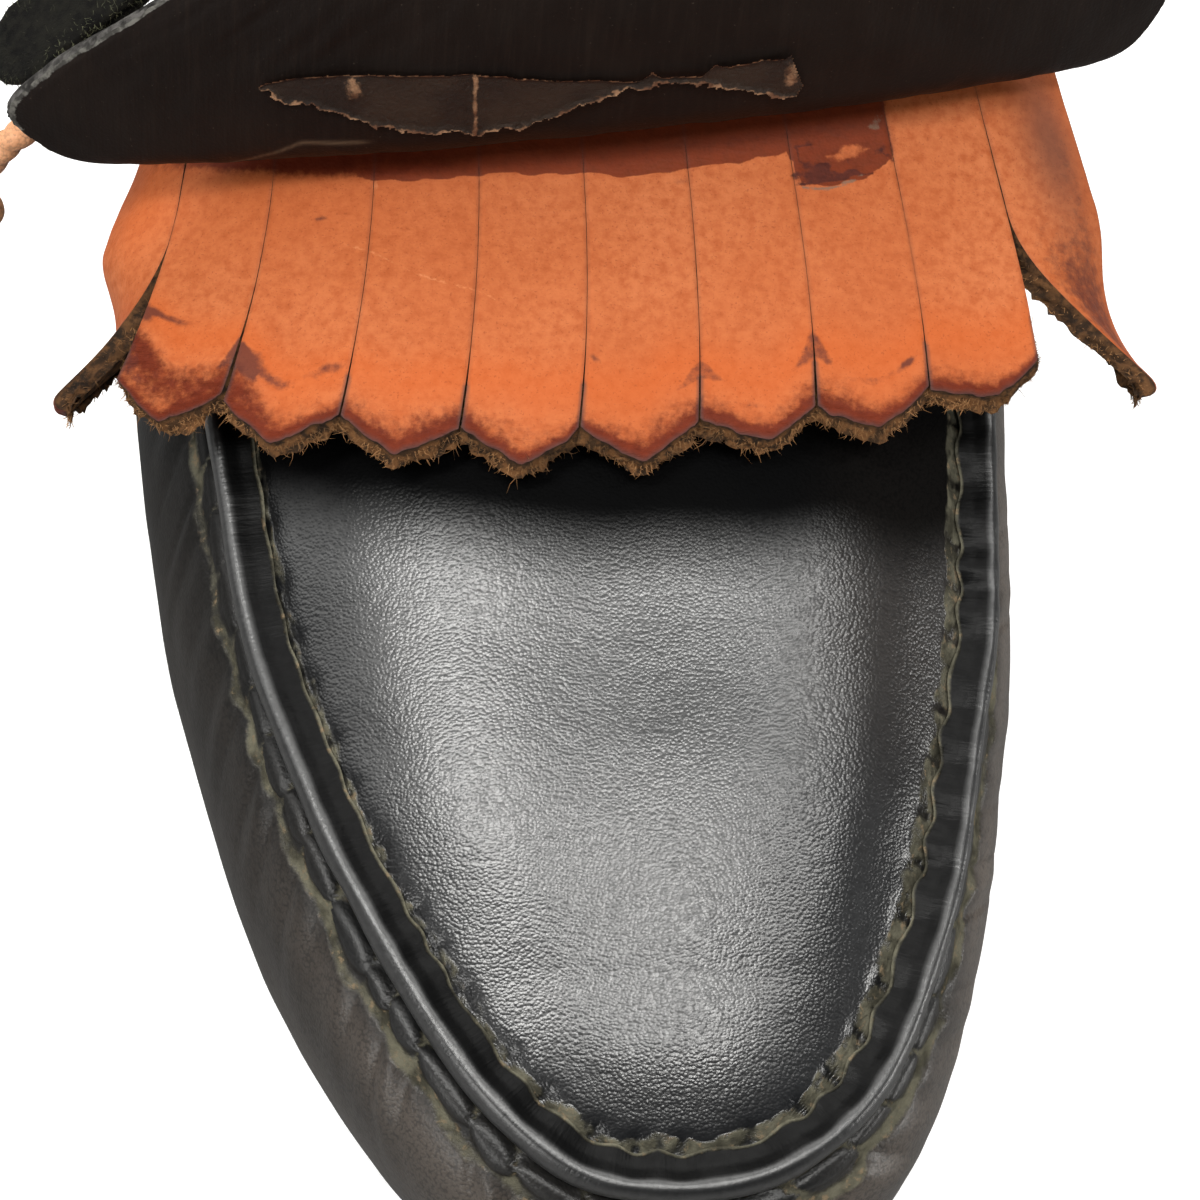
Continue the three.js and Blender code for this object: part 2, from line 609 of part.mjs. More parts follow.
function makeFlap() {
  const [columns, rows] = [22, 20];
  const sides = Array.from({ length: rows + 1 }, (_, j) => flapSide((FLAP_LENGTH * j) / rows));
  const plan = THREE.MathUtils.degToRad(FLAP_TURN);
  return sheet(columns, rows, (i, j, face) => {
    const past = Math.max((FLAP_LENGTH * j) / rows - FLAP_SEAT - FLAP_BEND, 0);
    const side = i * 2 < columns ? "lateral" : "medial";
    const across = ((2 * i) / columns - 1) * FLAP_HALF * tableValue(FLAP_OUTLINE, "at", side, j / rows);
    const share = Math.abs(across) / FLAP_HALF;
    const flatter = mix(1, 0.55, smooth(past / FLAP_RISE));
    const { forward, up, angle } = sides[j];
    const back = forward + FLAP_SEAT_BACK + FLAP_SWEEP * share ** 2 + Math.sin(angle) * FLAP_LEATHER * face;
    const base = section(KILTIE_TOP_AT + across * Math.sin(plan)).top + KILTIE_LEATHER + FLAP_LIFT;
    const z = base + up - Math.cos(angle) * FLAP_LEATHER * face - FLAP_DROP * flatter * share ** 2;
    const x = KILTIE_SWING + across * Math.cos(plan) - back * Math.sin(plan);
    return new THREE.Vector3(x, toY(KILTIE_TOP_AT) + across * Math.sin(plan) + back * Math.cos(plan), z);
  });
}

// Loops of a round or oval bar along a path.
function barLoops(points, sides, radius) {
  const curve = new THREE.CatmullRomCurve3(points);
  const frames = curve.computeFrenetFrames(points.length - 1, false);
  return points.map((point, i) =>
    Array.from({ length: sides }, (_, k) => {
      const angle = (2 * Math.PI * k) / sides;
      const out = point.clone().addScaledVector(frames.normals[i], radius(i) * Math.cos(angle));
      return out.addScaledVector(frames.binormals[i], radius(i) * Math.sin(angle));
    }),
  );
}

function besidePoint({ out, at, height }) {
  return new THREE.Vector3(-out * BALL_WIDTH, toY(at * LENGTH), height * INSTEP_HEIGHT);
}

function makeLace() {
  const curve = new THREE.CatmullRomCurve3(LACE_PATH.map(besidePoint));
  return loft(barLoops(curve.getSpacedPoints(20), 8, () => LACE_WIDTH / 2));
}

// One strand from the tassel's neck over the shoulder to its free end, as a strip with real thickness.
function strandSolid(end) {
  const rows = 9;
  const start = besidePoint(TASSEL_START).lerp(besidePoint(TASSEL_NECK), 0.6);
  const free = besidePoint(end);
  const along = free.clone().sub(start).normalize();
  const flat = along.clone().cross(new THREE.Vector3(-0.5, 0, 1)).normalize();
  const facing = flat.clone().cross(along).normalize();
  const loops = Array.from({ length: rows + 1 }, (_, j) => {
    const share = j / rows;
    const bow = STRAND_ARCH * share * (1 - share) * 4;
    const middle = start.clone().lerp(free, share).addScaledVector(facing, bow);
    const clear = clearHeight(middle.x, middle.y + HEEL_MIDDLE) + STRAND_LEATHER;
    middle.z = Math.max(middle.z, clear);
    const round = j === rows ? 0.6 : 1;
    const width = (STRAND_WIDTH * mix(STRAND_ROOT, 1, smooth(share * 3)) * round) / 2;
    const beside = flat.clone().multiplyScalar(width);
    const over = facing.clone().multiplyScalar(STRAND_LEATHER / 2);
    const corner = (u, v) => middle.clone().addScaledVector(beside, u).addScaledVector(over, v);
    return [corner(-1, -1), corner(-1, 1), corner(1, 1), corner(1, -1)];
  });
  return closedSolid(loft(loops));
}

function makeTassel() {
  const steps = 6;
  const [start, neck] = [TASSEL_START, TASSEL_NECK].map(besidePoint);
  const points = Array.from({ length: steps + 1 }, (_, i) => start.clone().lerp(neck, i / steps));
  const round = (i) => (TASSEL_WIDTH / 2) * mix(0.62, 1, Math.sin((Math.PI * i) / steps) ** 0.5);
  const head = closedSolid(loft(barLoops(points, 10, round)));
  return geometryOfSolid(STRAND_ENDS.reduce((tassel, end) => tassel.add(strandSolid(end)), head));
}

function piece(name, geometry, colour, roughness) {
  const flat = geometry.toNonIndexed();
  flat.computeVertexNormals();
  const material = new THREE.MeshStandardMaterial({ color: colour, roughness, metalness: 0 });
  const mesh = new THREE.Mesh(flat, material);
  mesh.name = name;
  return mesh;
}

const shoe = new THREE.Group();
const heelTop = HEEL_HEIGHT - CLEARANCE;
shoe.add(
  piece("outsole", makeOutsole(), 0x2a211c, 0.55),
  piece("heel_stack", makeHeelLayer(LIFT_THICKNESS + CLEARANCE, heelTop), 0x231b17, 0.5),
  piece("heel_lift", makeHeelLayer(0, LIFT_THICKNESS), 0x1a1a1a, 0.8),
  piece("insole", makeInsole(), 0x8a6242, 0.6),
  piece("upper", makeUpper(), 0x1a1b1d, 0.32),
  piece("kiltie", makeKiltie(), 0xb5562c, 0.5),
  piece("flap", makeFlap(), 0x1d1815, 0.45),
  piece("lace", makeLace(), 0xc08a5c, 0.6),
  piece("tassel", makeTassel(), 0x17171a, 0.9),
);

export default shoe;
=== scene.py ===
# %% [markdown]
# A kiltie loafer, right foot: black moccasin toe, tan fringed kiltie, black flap folded up at the throat.
# This lesson dresses the shoe in leather. Every cell first says what the real piece is and how it was made,
# then builds it. Lengths are in millimetres until a mesh is written, because a shoemaker works in them.

import math
from types import SimpleNamespace

import bpy
import numpy as np
from mathutils import Matrix, Vector
from mathutils.kdtree import KDTree


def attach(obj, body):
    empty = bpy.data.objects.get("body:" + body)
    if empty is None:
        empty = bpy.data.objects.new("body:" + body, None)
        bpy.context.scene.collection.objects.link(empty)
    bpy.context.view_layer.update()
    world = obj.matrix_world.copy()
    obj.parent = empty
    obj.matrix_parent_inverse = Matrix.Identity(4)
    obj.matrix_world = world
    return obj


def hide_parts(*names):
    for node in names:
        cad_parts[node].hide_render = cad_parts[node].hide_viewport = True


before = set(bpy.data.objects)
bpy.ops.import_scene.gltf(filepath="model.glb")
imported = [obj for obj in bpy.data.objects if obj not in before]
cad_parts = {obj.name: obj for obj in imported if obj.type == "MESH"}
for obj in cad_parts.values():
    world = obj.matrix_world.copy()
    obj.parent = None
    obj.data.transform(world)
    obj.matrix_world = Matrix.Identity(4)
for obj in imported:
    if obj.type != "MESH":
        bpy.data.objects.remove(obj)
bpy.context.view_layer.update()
MM = 0.001
rng = np.random.default_rng(7)
print("nodes:", sorted(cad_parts))

# %% [markdown]
# The photograph looks steeply down on the toe. A long lens close to the leather keeps the sides of the shoe
# almost parallel. The camera stands over the toe at 68 degrees and is rolled a little, as the hand held it.

# %% Camera
AIM = Vector((1.9, -191.5, 45.0)) * MM
ELEVATION, TURN, ROLL = math.radians(68), math.radians(2), math.radians(4)
DISTANCE = 380 * MM
SENSOR = 36.0
FRAME_PIXELS, FOCAL_PIXELS = 1200, 3400
LENS = SENSOR * FOCAL_PIXELS / FRAME_PIXELS

back = Vector(
    (
        -math.sin(TURN),
        -math.cos(ELEVATION) * math.cos(TURN),
        math.sin(ELEVATION) * math.cos(TURN),
    )
)
level = Vector((0, 1, 0)).cross(back).normalized()
upright = back.cross(level)
right = level * math.cos(ROLL) + upright * math.sin(ROLL)
up = upright * math.cos(ROLL) - level * math.sin(ROLL)
lens = bpy.data.cameras.new("camera")
lens.sensor_width = SENSOR
lens.lens = LENS
lens.clip_start = 0.01
camera = bpy.data.objects.new("camera", lens)
bpy.context.collection.objects.link(camera)
turned = Matrix((right, up, back)).transposed().to_4x4()
camera.matrix_world = Matrix.Translation(AIM + back * DISTANCE) @ turned
bpy.context.scene.camera = camera
print("camera at", tuple(round(v, 3) for v in camera.matrix_world.translation))

# %% [markdown]
# Node trees are long to write by hand, so short helpers do the wiring: one adds a node, one joins a value or
# a link to a socket, some do arithmetic and some mix colours. Colours are given as they look on a screen, and
# turned into the linear numbers that the shaders use.

# %% Wiring helpers
def join(tree, value, socket):
    if isinstance(value, bpy.types.NodeSocket):
        tree.links.new(value, socket)
    else:
        socket.default_value = value


def add(tree, kind, inputs=None, **settings):
    made = tree.nodes.new(kind)
    for key, value in settings.items():
        setattr(made, key, value)
    for key, value in (inputs or {}).items():
        join(tree, value, made.inputs[key])
    return made


def calc(tree, operation, *values, clamp=False):
    made = add(tree, "ShaderNodeMath", dict(enumerate(values)), operation=operation, use_clamp=clamp)
    return made.outputs[0]


def plus(tree, first, second):
    return calc(tree, "ADD", first, second)


def times(tree, first, second, clamp=False):
    return calc(tree, "MULTIPLY", first, second, clamp=clamp)


def centred(tree, value, size):
    """A value from 0 to 1, moved to both sides of 0 and scaled."""
    return times(tree, calc(tree, "SUBTRACT", value, 0.5), size)


def stretched(tree, place, factors):
    return add(tree, "ShaderNodeVectorMath", {0: place, 1: factors}, operation="MULTIPLY").outputs[0]


def between(tree, value, low, high):
    """0 below low, 1 above high, smooth between."""
    inputs = {"Value": value, "From Min": low, "From Max": high}
    return add(tree, "ShaderNodeMapRange", inputs, interpolation_type="SMOOTHSTEP").outputs[0]


def noise(tree, place, scale, detail=2.0, rough=0.5, warp=0.0):
    inputs = {"Vector": place, "Scale": scale, "Detail": detail, "Roughness": rough, "Distortion": warp}
    return add(tree, "ShaderNodeTexNoise", inputs).outputs["Fac"]


def mask(tree, name):
    return add(tree, "ShaderNodeAttribute", attribute_name=name).outputs["Fac"]


def broken_mask(tree, name, breaking, low, high):
    """A mask of the mesh, with its outline broken by noise."""
    return between(tree, plus(tree, mask(tree, name), breaking), low, high)


def colour(red, green, blue):
    screen = [value / 255 for value in (red, green, blue)]
    linear = [c / 12.92 if c <= 0.04045 else ((c + 0.055) / 1.055) ** 2.4 for c in screen]
    return (*linear, 1.0)


def blend(tree, share, first, second):
    """Two tones mixed. A tone is a link, a linear colour, or three screen numbers."""
    made = tree.nodes.new("ShaderNodeMix")
    made.data_type = "RGBA"
    for key, value in ((0, share), (6, first), (7, second)):
        screen_tone = isinstance(value, tuple) and len(value) == 3
        join(tree, colour(*value) if screen_tone else value, made.inputs[key])
    return made.outputs[2]


def paint(tree, under, tone, share, strength):
    return blend(tree, times(tree, share, strength), under, tone)


def group(name, inputs, outputs):
    """An empty node group with named sockets, and its two ends."""
    tree = bpy.data.node_groups.new(name, "ShaderNodeTree")
    for socket, kind, value in inputs:
        made = tree.interface.new_socket(name=socket, in_out="INPUT", socket_type=kind)
        if value is not None:
            made.default_value = value
    for socket, kind in outputs:
        tree.interface.new_socket(name=socket, in_out="OUTPUT", socket_type=kind)
    start = tree.nodes.new("NodeGroupInput")
    end = tree.nodes.new("NodeGroupOutput")
    return tree, start.outputs, end.inputs


def use(tree, shared, **inputs):
    made = tree.nodes.new("ShaderNodeGroup")
    made.node_tree = shared
    for key, value in inputs.items():
        join(tree, value, made.inputs[key])
    return made.outputs


VECTOR, NUMBER, COLOUR = "NodeSocketVector", "NodeSocketFloat", "NodeSocketColor"
print("helpers ready")

# %% [markdown]
# Leather grain is a net of tiny swollen cells, with hair pores between them. Cell noise gives that net,
# warped a little so that no two cells match. Its plain form is enough, because a cell is only two or three
# pixels wide here, and the smoothed form takes far longer. Every smooth leather on the shoe shares the group.

# %% Shared effect: leather grain
GRAIN, tie, out = group(
    "leather_grain",
    [
        ("Vector", VECTOR, None),
        ("Cells", NUMBER, 2200.0),
        ("Stretch", NUMBER, 1.0),
        ("Wrinkles", NUMBER, 0.3),
    ],
    [("Height", NUMBER), ("Valleys", NUMBER)],
)
pull = add(GRAIN, "ShaderNodeCombineXYZ", {"X": tie["Stretch"], "Y": 1.0, "Z": 1.0}).outputs[0]
place = stretched(GRAIN, tie["Vector"], pull)
bent = add(GRAIN, "ShaderNodeTexNoise", {"Vector": place, "Scale": 900.0, "Detail": 1.0}).outputs["Color"]
shift = add(GRAIN, "ShaderNodeVectorMath", {0: bent, "Scale": 0.00018}, operation="SCALE").outputs[0]
moved = add(GRAIN, "ShaderNodeVectorMath", {0: place, 1: shift}, operation="ADD").outputs[0]
cells = add(GRAIN, "ShaderNodeTexVoronoi", {"Vector": moved, "Scale": tie["Cells"]}, feature="F1")
dome = calc(GRAIN, "SUBTRACT", 1.0, cells.outputs["Distance"])
coarse = noise(GRAIN, moved, times(GRAIN, tie["Cells"], 0.4), 3.0, 0.6)
join(GRAIN, plus(GRAIN, dome, times(GRAIN, coarse, tie["Wrinkles"])), out["Height"])
join(GRAIN, between(GRAIN, cells.outputs["Distance"], 0.45, 0.8), out["Valleys"])

# %% [markdown]
# Old polish, wax and dust dry in the creases. A mesh mask says where a crease is, and noise breaks its edge
# so that the dried film looks crusty and not painted.

# %% Shared effect: dried residue
RESIDUE, tie, out = group(
    "dried_residue",
    [("Vector", VECTOR, None), ("Mask", NUMBER, 0.0), ("Size", NUMBER, 700.0)],
    [("Mask", NUMBER), ("Color", COLOUR), ("Height", NUMBER)],
)
crust = noise(RESIDUE, tie["Vector"], tie["Size"], 4.0, 0.65)
patchy = noise(RESIDUE, tie["Vector"], 230.0, 2.0, 0.5)
breaking = plus(RESIDUE, centred(RESIDUE, crust, 1.5), centred(RESIDUE, patchy, 1.0))
film = between(RESIDUE, times(RESIDUE, tie["Mask"], plus(RESIDUE, 1.0, breaking)), 0.22, 0.7)
tone = noise(RESIDUE, tie["Vector"], 260.0, 3.0, 0.6)
dusty = blend(RESIDUE, between(RESIDUE, tone, 0.35, 0.65), (62, 60, 51), (108, 105, 90))
join(RESIDUE, film, out["Mask"])
join(RESIDUE, blend(RESIDUE, between(RESIDUE, crust, 0.55, 0.7), dusty, (128, 112, 90)), out["Color"])
join(RESIDUE, times(RESIDUE, crust, film), out["Height"])

# %% [markdown]
# Leather also varies slowly over a hand's width: rubbed lighter here, oiled darker there. One group gives
# that drift, from two sizes of noise, and it also drives roughness so that gloss breaks up.

# %% Shared effect: uneven finish
UNEVEN, tie, out = group(
    "uneven_finish",
    [("Vector", VECTOR, None), ("Size", NUMBER, 40.0), ("Low", NUMBER, 0.35), ("High", NUMBER, 0.65)],
    [("Mask", NUMBER), ("Fine", NUMBER)],
)
broad = noise(UNEVEN, tie["Vector"], tie["Size"], 4.0, 0.55)
join(UNEVEN, between(UNEVEN, broad, tie["Low"], tie["High"]), out["Mask"])
join(UNEVEN, noise(UNEVEN, tie["Vector"], times(UNEVEN, tie["Size"], 22.0), 4.0, 0.6), out["Fine"])

# %% [markdown]
# Where leather is cut, torn or brushed, its fibres show: fine strands that gather in small tufts. Two sizes
# of noise give both. Cut edges, suede and the flap's skived rim share this group.

# %% Shared effect: raw fibres
FIBRE, tie, out = group(
    "raw_fibre",
    [("Vector", VECTOR, None), ("Size", NUMBER, 1500.0)],
    [("Height", NUMBER), ("Tufts", NUMBER)],
)
strands = noise(FIBRE, tie["Vector"], tie["Size"], 5.0, 0.7, 1.2)
clumps = noise(FIBRE, tie["Vector"], times(FIBRE, tie["Size"], 0.28), 3.0, 0.6)
join(FIBRE, plus(FIBRE, strands, clumps), out["Height"])
join(FIBRE, between(FIBRE, clumps, 0.38, 0.62), out["Tufts"])
print("groups:", [g.name for g in bpy.data.node_groups])


# %% [markdown]
# A finish starts as a Principled shader with its fixed values set straight on the sockets. What changes
# over the surface is joined afterwards.

# %% Start a finish
def finish(name, rough, coat=0.0, coat_rough=0.3, specular=0.5, coat_ior=1.5):
    made = bpy.data.materials.new(name)
    made.use_nodes = True
    tree = made.node_tree
    shader = tree.nodes["Principled BSDF"]
    fixed = {
        "Roughness": rough,
        "Coat Weight": coat,
        "Coat Roughness": coat_rough,
        "Specular IOR Level": specular,
        "Coat IOR": coat_ior,
    }
    for key, value in fixed.items():
        shader.inputs[key].default_value = value
    place = tree.nodes.new("ShaderNodeTexCoord").outputs["Object"]
    return made, tree, shader.inputs, place


def bump(tree, height, depth, under=None):
    inputs = {"Height": height, "Distance": depth, "Strength": 1.0}
    if under is not None:
        inputs["Normal"] = under
    return add(tree, "ShaderNodeBump", inputs).outputs[0]


def varied(tree, low, size, value):
    """A number that drifts over the surface, from low to low plus size."""
    return plus(tree, low, times(tree, value, size))


# %% [markdown]
# The black calf is dyed through and polished. Under soft light it is blue-black on the plug and browner on
# the walls, where the dye has worn; on the medial wall that lighter brown is also painted light, standing in
# for the floor's reflection. A mask paints shade there as near black without polish: in front of and under
# the kiltie's hem, on the welt's inner flank and along the lateral wall. One function makes the three black
# leathers of the upper, and only their tone, gloss and grain differ.

# %% Black calf
# The first tone is brown wear, and on the medial wall painted light as well; the third is the near black of
# painted shade.
BROWN_WEAR_AND_PAINTED_LIGHT, GRAIN_BLACK, PAINTED_SHADE_BLACK = (116, 104, 94), (6, 6, 7), (3, 3, 3)


def black_calf(name, deep, worn, coat_rough, grain_depth, cells, wrinkles, stretch, coat, coat_ior, ribs=0.0):
    made, tree, socket, place = finish(name, 0.6, coat, coat_rough, specular=0.02, coat_ior=coat_ior)
    grain = use(tree, GRAIN, Vector=place, Cells=cells, Wrinkles=wrinkles, Stretch=stretch)
    drift = use(tree, UNEVEN, Vector=place, Size=45.0, Low=0.35, High=0.7)
    dried = use(tree, RESIDUE, Vector=place, Mask=mask(tree, "residue"))
    # Painted shade: where this mask is high the leather is painted near black and its coat is taken off.
    shelter = mask(tree, "shelter")
    leather = blend(tree, drift["Mask"], deep, worn)
    leather = paint(tree, leather, BROWN_WEAR_AND_PAINTED_LIGHT, mask(tree, "brown"), 0.8)
    leather = paint(tree, leather, GRAIN_BLACK, grain["Valleys"], 0.5)
    leather = paint(tree, leather, PAINTED_SHADE_BLACK, shelter, 0.8)
    join(tree, paint(tree, leather, dried["Color"], dried["Mask"], 0.9), socket["Base Color"])
    join(tree, varied(tree, 0.55, 0.4, dried["Mask"]), socket["Roughness"])
    waxed = calc(tree, "SUBTRACT", 1.0, calc(tree, "MAXIMUM", dried["Mask"], shelter), clamp=True)
    waxed = times(tree, waxed, varied(tree, 0.6, 0.7, drift["Fine"]), clamp=True)
    join(tree, times(tree, waxed, coat), socket["Coat Weight"])
    surface = bump(tree, grain["Height"], grain_depth)
    if ribs:
        run = times(tree, mask(tree, "run"), 2.4)
        across = times(tree, mask(tree, "across"), 0.3)
        along = add(tree, "ShaderNodeCombineXYZ", {"X": run, "Y": across}).outputs[0]
        surface = bump(tree, noise(tree, along, 1.0, 3.0, 0.55), ribs, surface)
    surface = bump(tree, dried["Height"], 0.00025, surface)
    join(tree, surface, socket["Normal"])
    join(tree, surface, socket["Coat Normal"])
    return made


PLUG_LEATHER = black_calf(
    "plug_leather",
    deep=(12, 12, 14),
    worn=(19, 20, 22),
    coat_rough=0.29,
    grain_depth=0.00004,
    cells=2900.0,
    wrinkles=0.25,
    stretch=0.85,
    coat=0.95,
    coat_ior=1.85,
)
WALL_LEATHER = black_calf(
    "wall_leather",
    deep=(15, 15, 15),
    worn=(27, 25, 23),
    coat_rough=0.42,
    grain_depth=0.00003,
    cells=2600.0,
    wrinkles=0.3,
    stretch=1.0,
    coat=0.8,
    coat_ior=1.65,
)
ROLL_LEATHER = black_calf(
    "roll_leather",
    deep=(4, 4, 5),
    worn=(8, 8, 9),
    coat_rough=0.4,
    grain_depth=0.00001,
    cells=2600.0,
    wrinkles=0.3,
    stretch=1.0,
    coat=1.0,
    coat_ior=1.95,
    ribs=0.00006,
)
print("black leathers:", PLUG_LEATHER.name, WALL_LEATHER.name, ROLL_LEATHER.name)

# %% [markdown]
# The kiltie is waxy tan calf. Handling has burnished its hem red-brown and left purple-grey stains at the
# slit ends. The meshes carry masks for those places, and noise breaks their outlines. The red-brown mask also
# carries a painted shadow of the flap across the tops of the strips, and a grey tone paints light and shade:
# a highlight line along the strip edges, shade beside the slits and a sheen over the last strip. The tones
# are laid on one over the other, from the even tan of the strip's face to the dark line along its cut edge.

# %% Tan calf
TAN, tree, socket, place = finish("tan_calf", 0.55, 0.02, 0.35, 0.07)
grain = use(tree, GRAIN, Vector=place, Cells=2600.0, Wrinkles=0.7)
drift = use(tree, UNEVEN, Vector=place, Size=38.0, Low=0.3, High=0.7)
fine = drift["Fine"]
ragged_edge = centred(tree, noise(tree, place, 900.0, 5.0, 0.7), 1.1)
pores = between(tree, noise(tree, place, 3400.0, 2.0, 0.5), 0.6, 0.72)
leather = blend(tree, drift["Mask"], (184, 99, 56), (194, 112, 69))
leather = blend(tree, between(tree, fine, 0.3, 0.8), leather, (168, 85, 45))
leather = paint(tree, leather, (188, 88, 36), mask(tree, "warm"), 0.6)
leather = paint(tree, leather, (110, 46, 22), pores, 0.35)
# Dark red-brown: burnish at the hem, and a painted shadow of the flap across the tops of the strips.
burnt = broken_mask(tree, "burnish_and_shade", ragged_edge, 0.2, 0.9)
leather = blend(tree, burnt, leather, blend(tree, fine, (78, 26, 14), (120, 50, 28)))
spots = broken_mask(tree, "stain", ragged_edge, 0.3, 1.0)
leather = paint(tree, leather, (84, 44, 38), spots, 0.85)
band = broken_mask(tree, "band", times(tree, ragged_edge, 0.5), 0.35, 0.65)
leather = paint(tree, leather, blend(tree, fine, (74, 24, 12), (124, 52, 28)), band, 0.9)
torn = broken_mask(tree, "torn", ragged_edge, 0.4, 0.8)
leather = blend(tree, torn, leather, blend(tree, fine, (38, 20, 20), (104, 48, 34)))
frayed = broken_mask(tree, "fray", ragged_edge, 0.5, 0.8)
leather = paint(tree, leather, (120, 98, 82), frayed, 0.8)
pale = broken_mask(tree, "pale", ragged_edge, 0.6, 0.9)
leather = paint(tree, leather, (214, 140, 96), pale, 0.5)
# Grey painted light and shade: a highlight line along the strip edges, shade beside the slits, sheen over the
# last strip.
leather = paint(tree, leather, (70, 58, 56), mask(tree, "rim"), 0.7)
join(tree, leather, socket["Base Color"])
join(tree, varied(tree, 0.4, 0.2, fine), socket["Roughness"])
crinkle = noise(tree, stretched(tree, place, (0.3, 1.0, 1.0)), 1300.0, 4.0, 0.6, 0.5)
fold = times(tree, crinkle, mask(tree, "crinkle"))
join(tree, bump(tree, fold, 0.0006, bump(tree, grain["Height"], 0.00003)), socket["Normal"])

# %% [markdown]
# A cut edge shows the middle of the hide: matt, felted and lighter in its tufts. Suede is the same split
# hide, dyed and brushed. One function makes them all, and a mask of the mesh darkens what was singed.

# %% Raw leather
def raw_leather(name, dark, mid, light, size, depth):
    made, tree, socket, place = finish(name, 0.88, specular=0.15)
    fibre = use(tree, FIBRE, Vector=place, Size=size)
    drift = use(tree, UNEVEN, Vector=place, Size=160.0, Low=0.35, High=0.62)
    tone = blend(tree, drift["Mask"], dark, mid)
    tone = blend(tree, fibre["Tufts"], tone, light)
    join(tree, blend(tree, mask(tree, "burnt"), tone, (34, 28, 25)), socket["Base Color"])
    join(tree, bump(tree, fibre["Height"], depth), socket["Normal"])
    return made


RAW_TAN = raw_leather("raw_tan_edge", (56, 44, 34), (88, 64, 44), (138, 96, 60), 3200.0, 0.0004)
FIBRES = raw_leather("loose_fibres", (84, 62, 44), (122, 88, 56), (168, 124, 82), 400.0, 0.0001)
RAW_GREY = raw_leather("raw_flap_edge", (40, 38, 36), (66, 64, 62), (112, 109, 106), 1700.0, 0.0008)
LINING = raw_leather("lining_leather", (150, 112, 80), (172, 132, 96), (182, 144, 108), 900.0, 0.00008)
SUEDE = raw_leather("black_suede", (11, 10, 9), (19, 18, 16), (30, 29, 24), 2600.0, 0.0006)
NAP = raw_leather("suede_nap", (26, 26, 22), (56, 57, 44), (104, 105, 82), 300.0, 0.0001)

# %% [markdown]
# The flap shows its rougher side to the camera: brown-black, almost matt, with fine streaks from rubbing and
# a rim that was skived thin and grey.

# %% Flap leather
FLAP, tree, socket, place = finish("flap_leather", 0.62, 0.0, 0.4, 0.12)
streaks = noise(tree, stretched(tree, place, (1800.0, 120.0, 120.0)), 1.0, 3.0, 0.6)
drift = use(tree, UNEVEN, Vector=place, Size=50.0, Low=0.35, High=0.7)
specks = between(tree, noise(tree, place, 2600.0, 2.0, 0.5), 0.72, 0.78)
tufts = use(tree, FIBRE, Vector=place, Size=2600.0)
tuft_edge = times(tree, calc(tree, "SUBTRACT", tufts["Height"], 1.0), 0.6)
leather = blend(tree, drift["Mask"], (20, 13, 10), (27, 19, 15))
leather = paint(tree, leather, (34, 25, 20), between(tree, streaks, 0.45, 0.75), 0.5)
leather = paint(tree, leather, (96, 84, 74), specks, 0.4)
leather = blend(tree, mask(tree, "raw"), leather, (104, 84, 66))
skived = broken_mask(tree, "skived", tuft_edge, 0.4, 0.6)
leather = blend(tree, skived, leather, blend(tree, tufts["Tufts"], (62, 60, 57), (112, 110, 104)))
join(tree, leather, socket["Base Color"])
join(tree, varied(tree, 0.55, 0.15, streaks), socket["Roughness"])
grain = use(tree, GRAIN, Vector=place, Cells=2400.0, Wrinkles=0.6)
join(tree, bump(tree, streaks, 0.00006, bump(tree, grain["Height"], 0.00003)), socket["Normal"])

# %% [markdown]
# The layer that stuck to the flap is brown-black inside and pale and crusty where it tore.

# %% Torn layer's finish
SCAB, tree, socket, place = finish("torn_layer", 0.6, specular=0.25)
drift = use(tree, UNEVEN, Vector=place, Size=120.0, Low=0.35, High=0.65)
fibre = use(tree, FIBRE, Vector=place, Size=1300.0)
inner = blend(tree, drift["Mask"], (32, 21, 15), (46, 33, 24))
rim = blend(tree, fibre["Tufts"], (96, 62, 42), (158, 120, 90))
ragged_edge = centred(tree, noise(tree, place, 900.0, 4.0, 0.7), 1.2)
join(tree, blend(tree, broken_mask(tree, "rim", ragged_edge, 0.6, 1.0), inner, rim), socket["Base Color"])
join(tree, bump(tree, fibre["Height"], 0.0003), socket["Normal"])

# %% [markdown]
# The lace, sole, heel and insole are smooth, even leathers, and the lift is rubber. They differ in tone,
# gloss and grain alone, so one function makes them too.

# %% Lace, sole, heel, lift and insole
def plain_leather(name, first_tone, second_tone, rough, cells, depth, size=60.0, coat=0.0):
    made, tree, socket, place = finish(name, rough, coat, specular=0.45)
    grain = use(tree, GRAIN, Vector=place, Cells=cells, Wrinkles=0.6)
    drift = use(tree, UNEVEN, Vector=place, Size=size, Low=0.3, High=0.7)
    tone = blend(tree, drift["Mask"], first_tone, second_tone)
    join(tree, paint(tree, tone, (20, 16, 13), grain["Valleys"], 0.3), socket["Base Color"])
    join(tree, varied(tree, rough - 0.08, 0.16, drift["Fine"]), socket["Roughness"])
    join(tree, bump(tree, grain["Height"], depth), socket["Normal"])
    return made


LACE = plain_leather("lace_leather", (222, 160, 116), (238, 188, 148), 0.5, 2400.0, 0.00008, 120.0)
SOLE = plain_leather("sole_leather", (40, 31, 26), (58, 44, 35), 0.5, 1500.0, 0.00008)
STACK = plain_leather("heel_leather", (34, 27, 23), (50, 38, 30), 0.42, 1600.0, 0.00006, 90.0, 0.2)
RUBBER = plain_leather("lift_rubber", (26, 26, 27), (36, 35, 35), 0.75, 3000.0, 0.00003)
FOOTBED = plain_leather("insole_leather", (140, 100, 66), (168, 124, 84), 0.55, 1900.0, 0.00005, 26.0)
print("finishes:", len(bpy.data.materials))

# %% [markdown]
# A shoe is drawn over a last, a carved foot form. The sections below are that last, with the sizes that the
# solids of this shoe have, so that the leather lies where the solids lie. Each section has a middle line, two
# half widths, a widest height and a crown, and it is as round or as square as its exponent says.

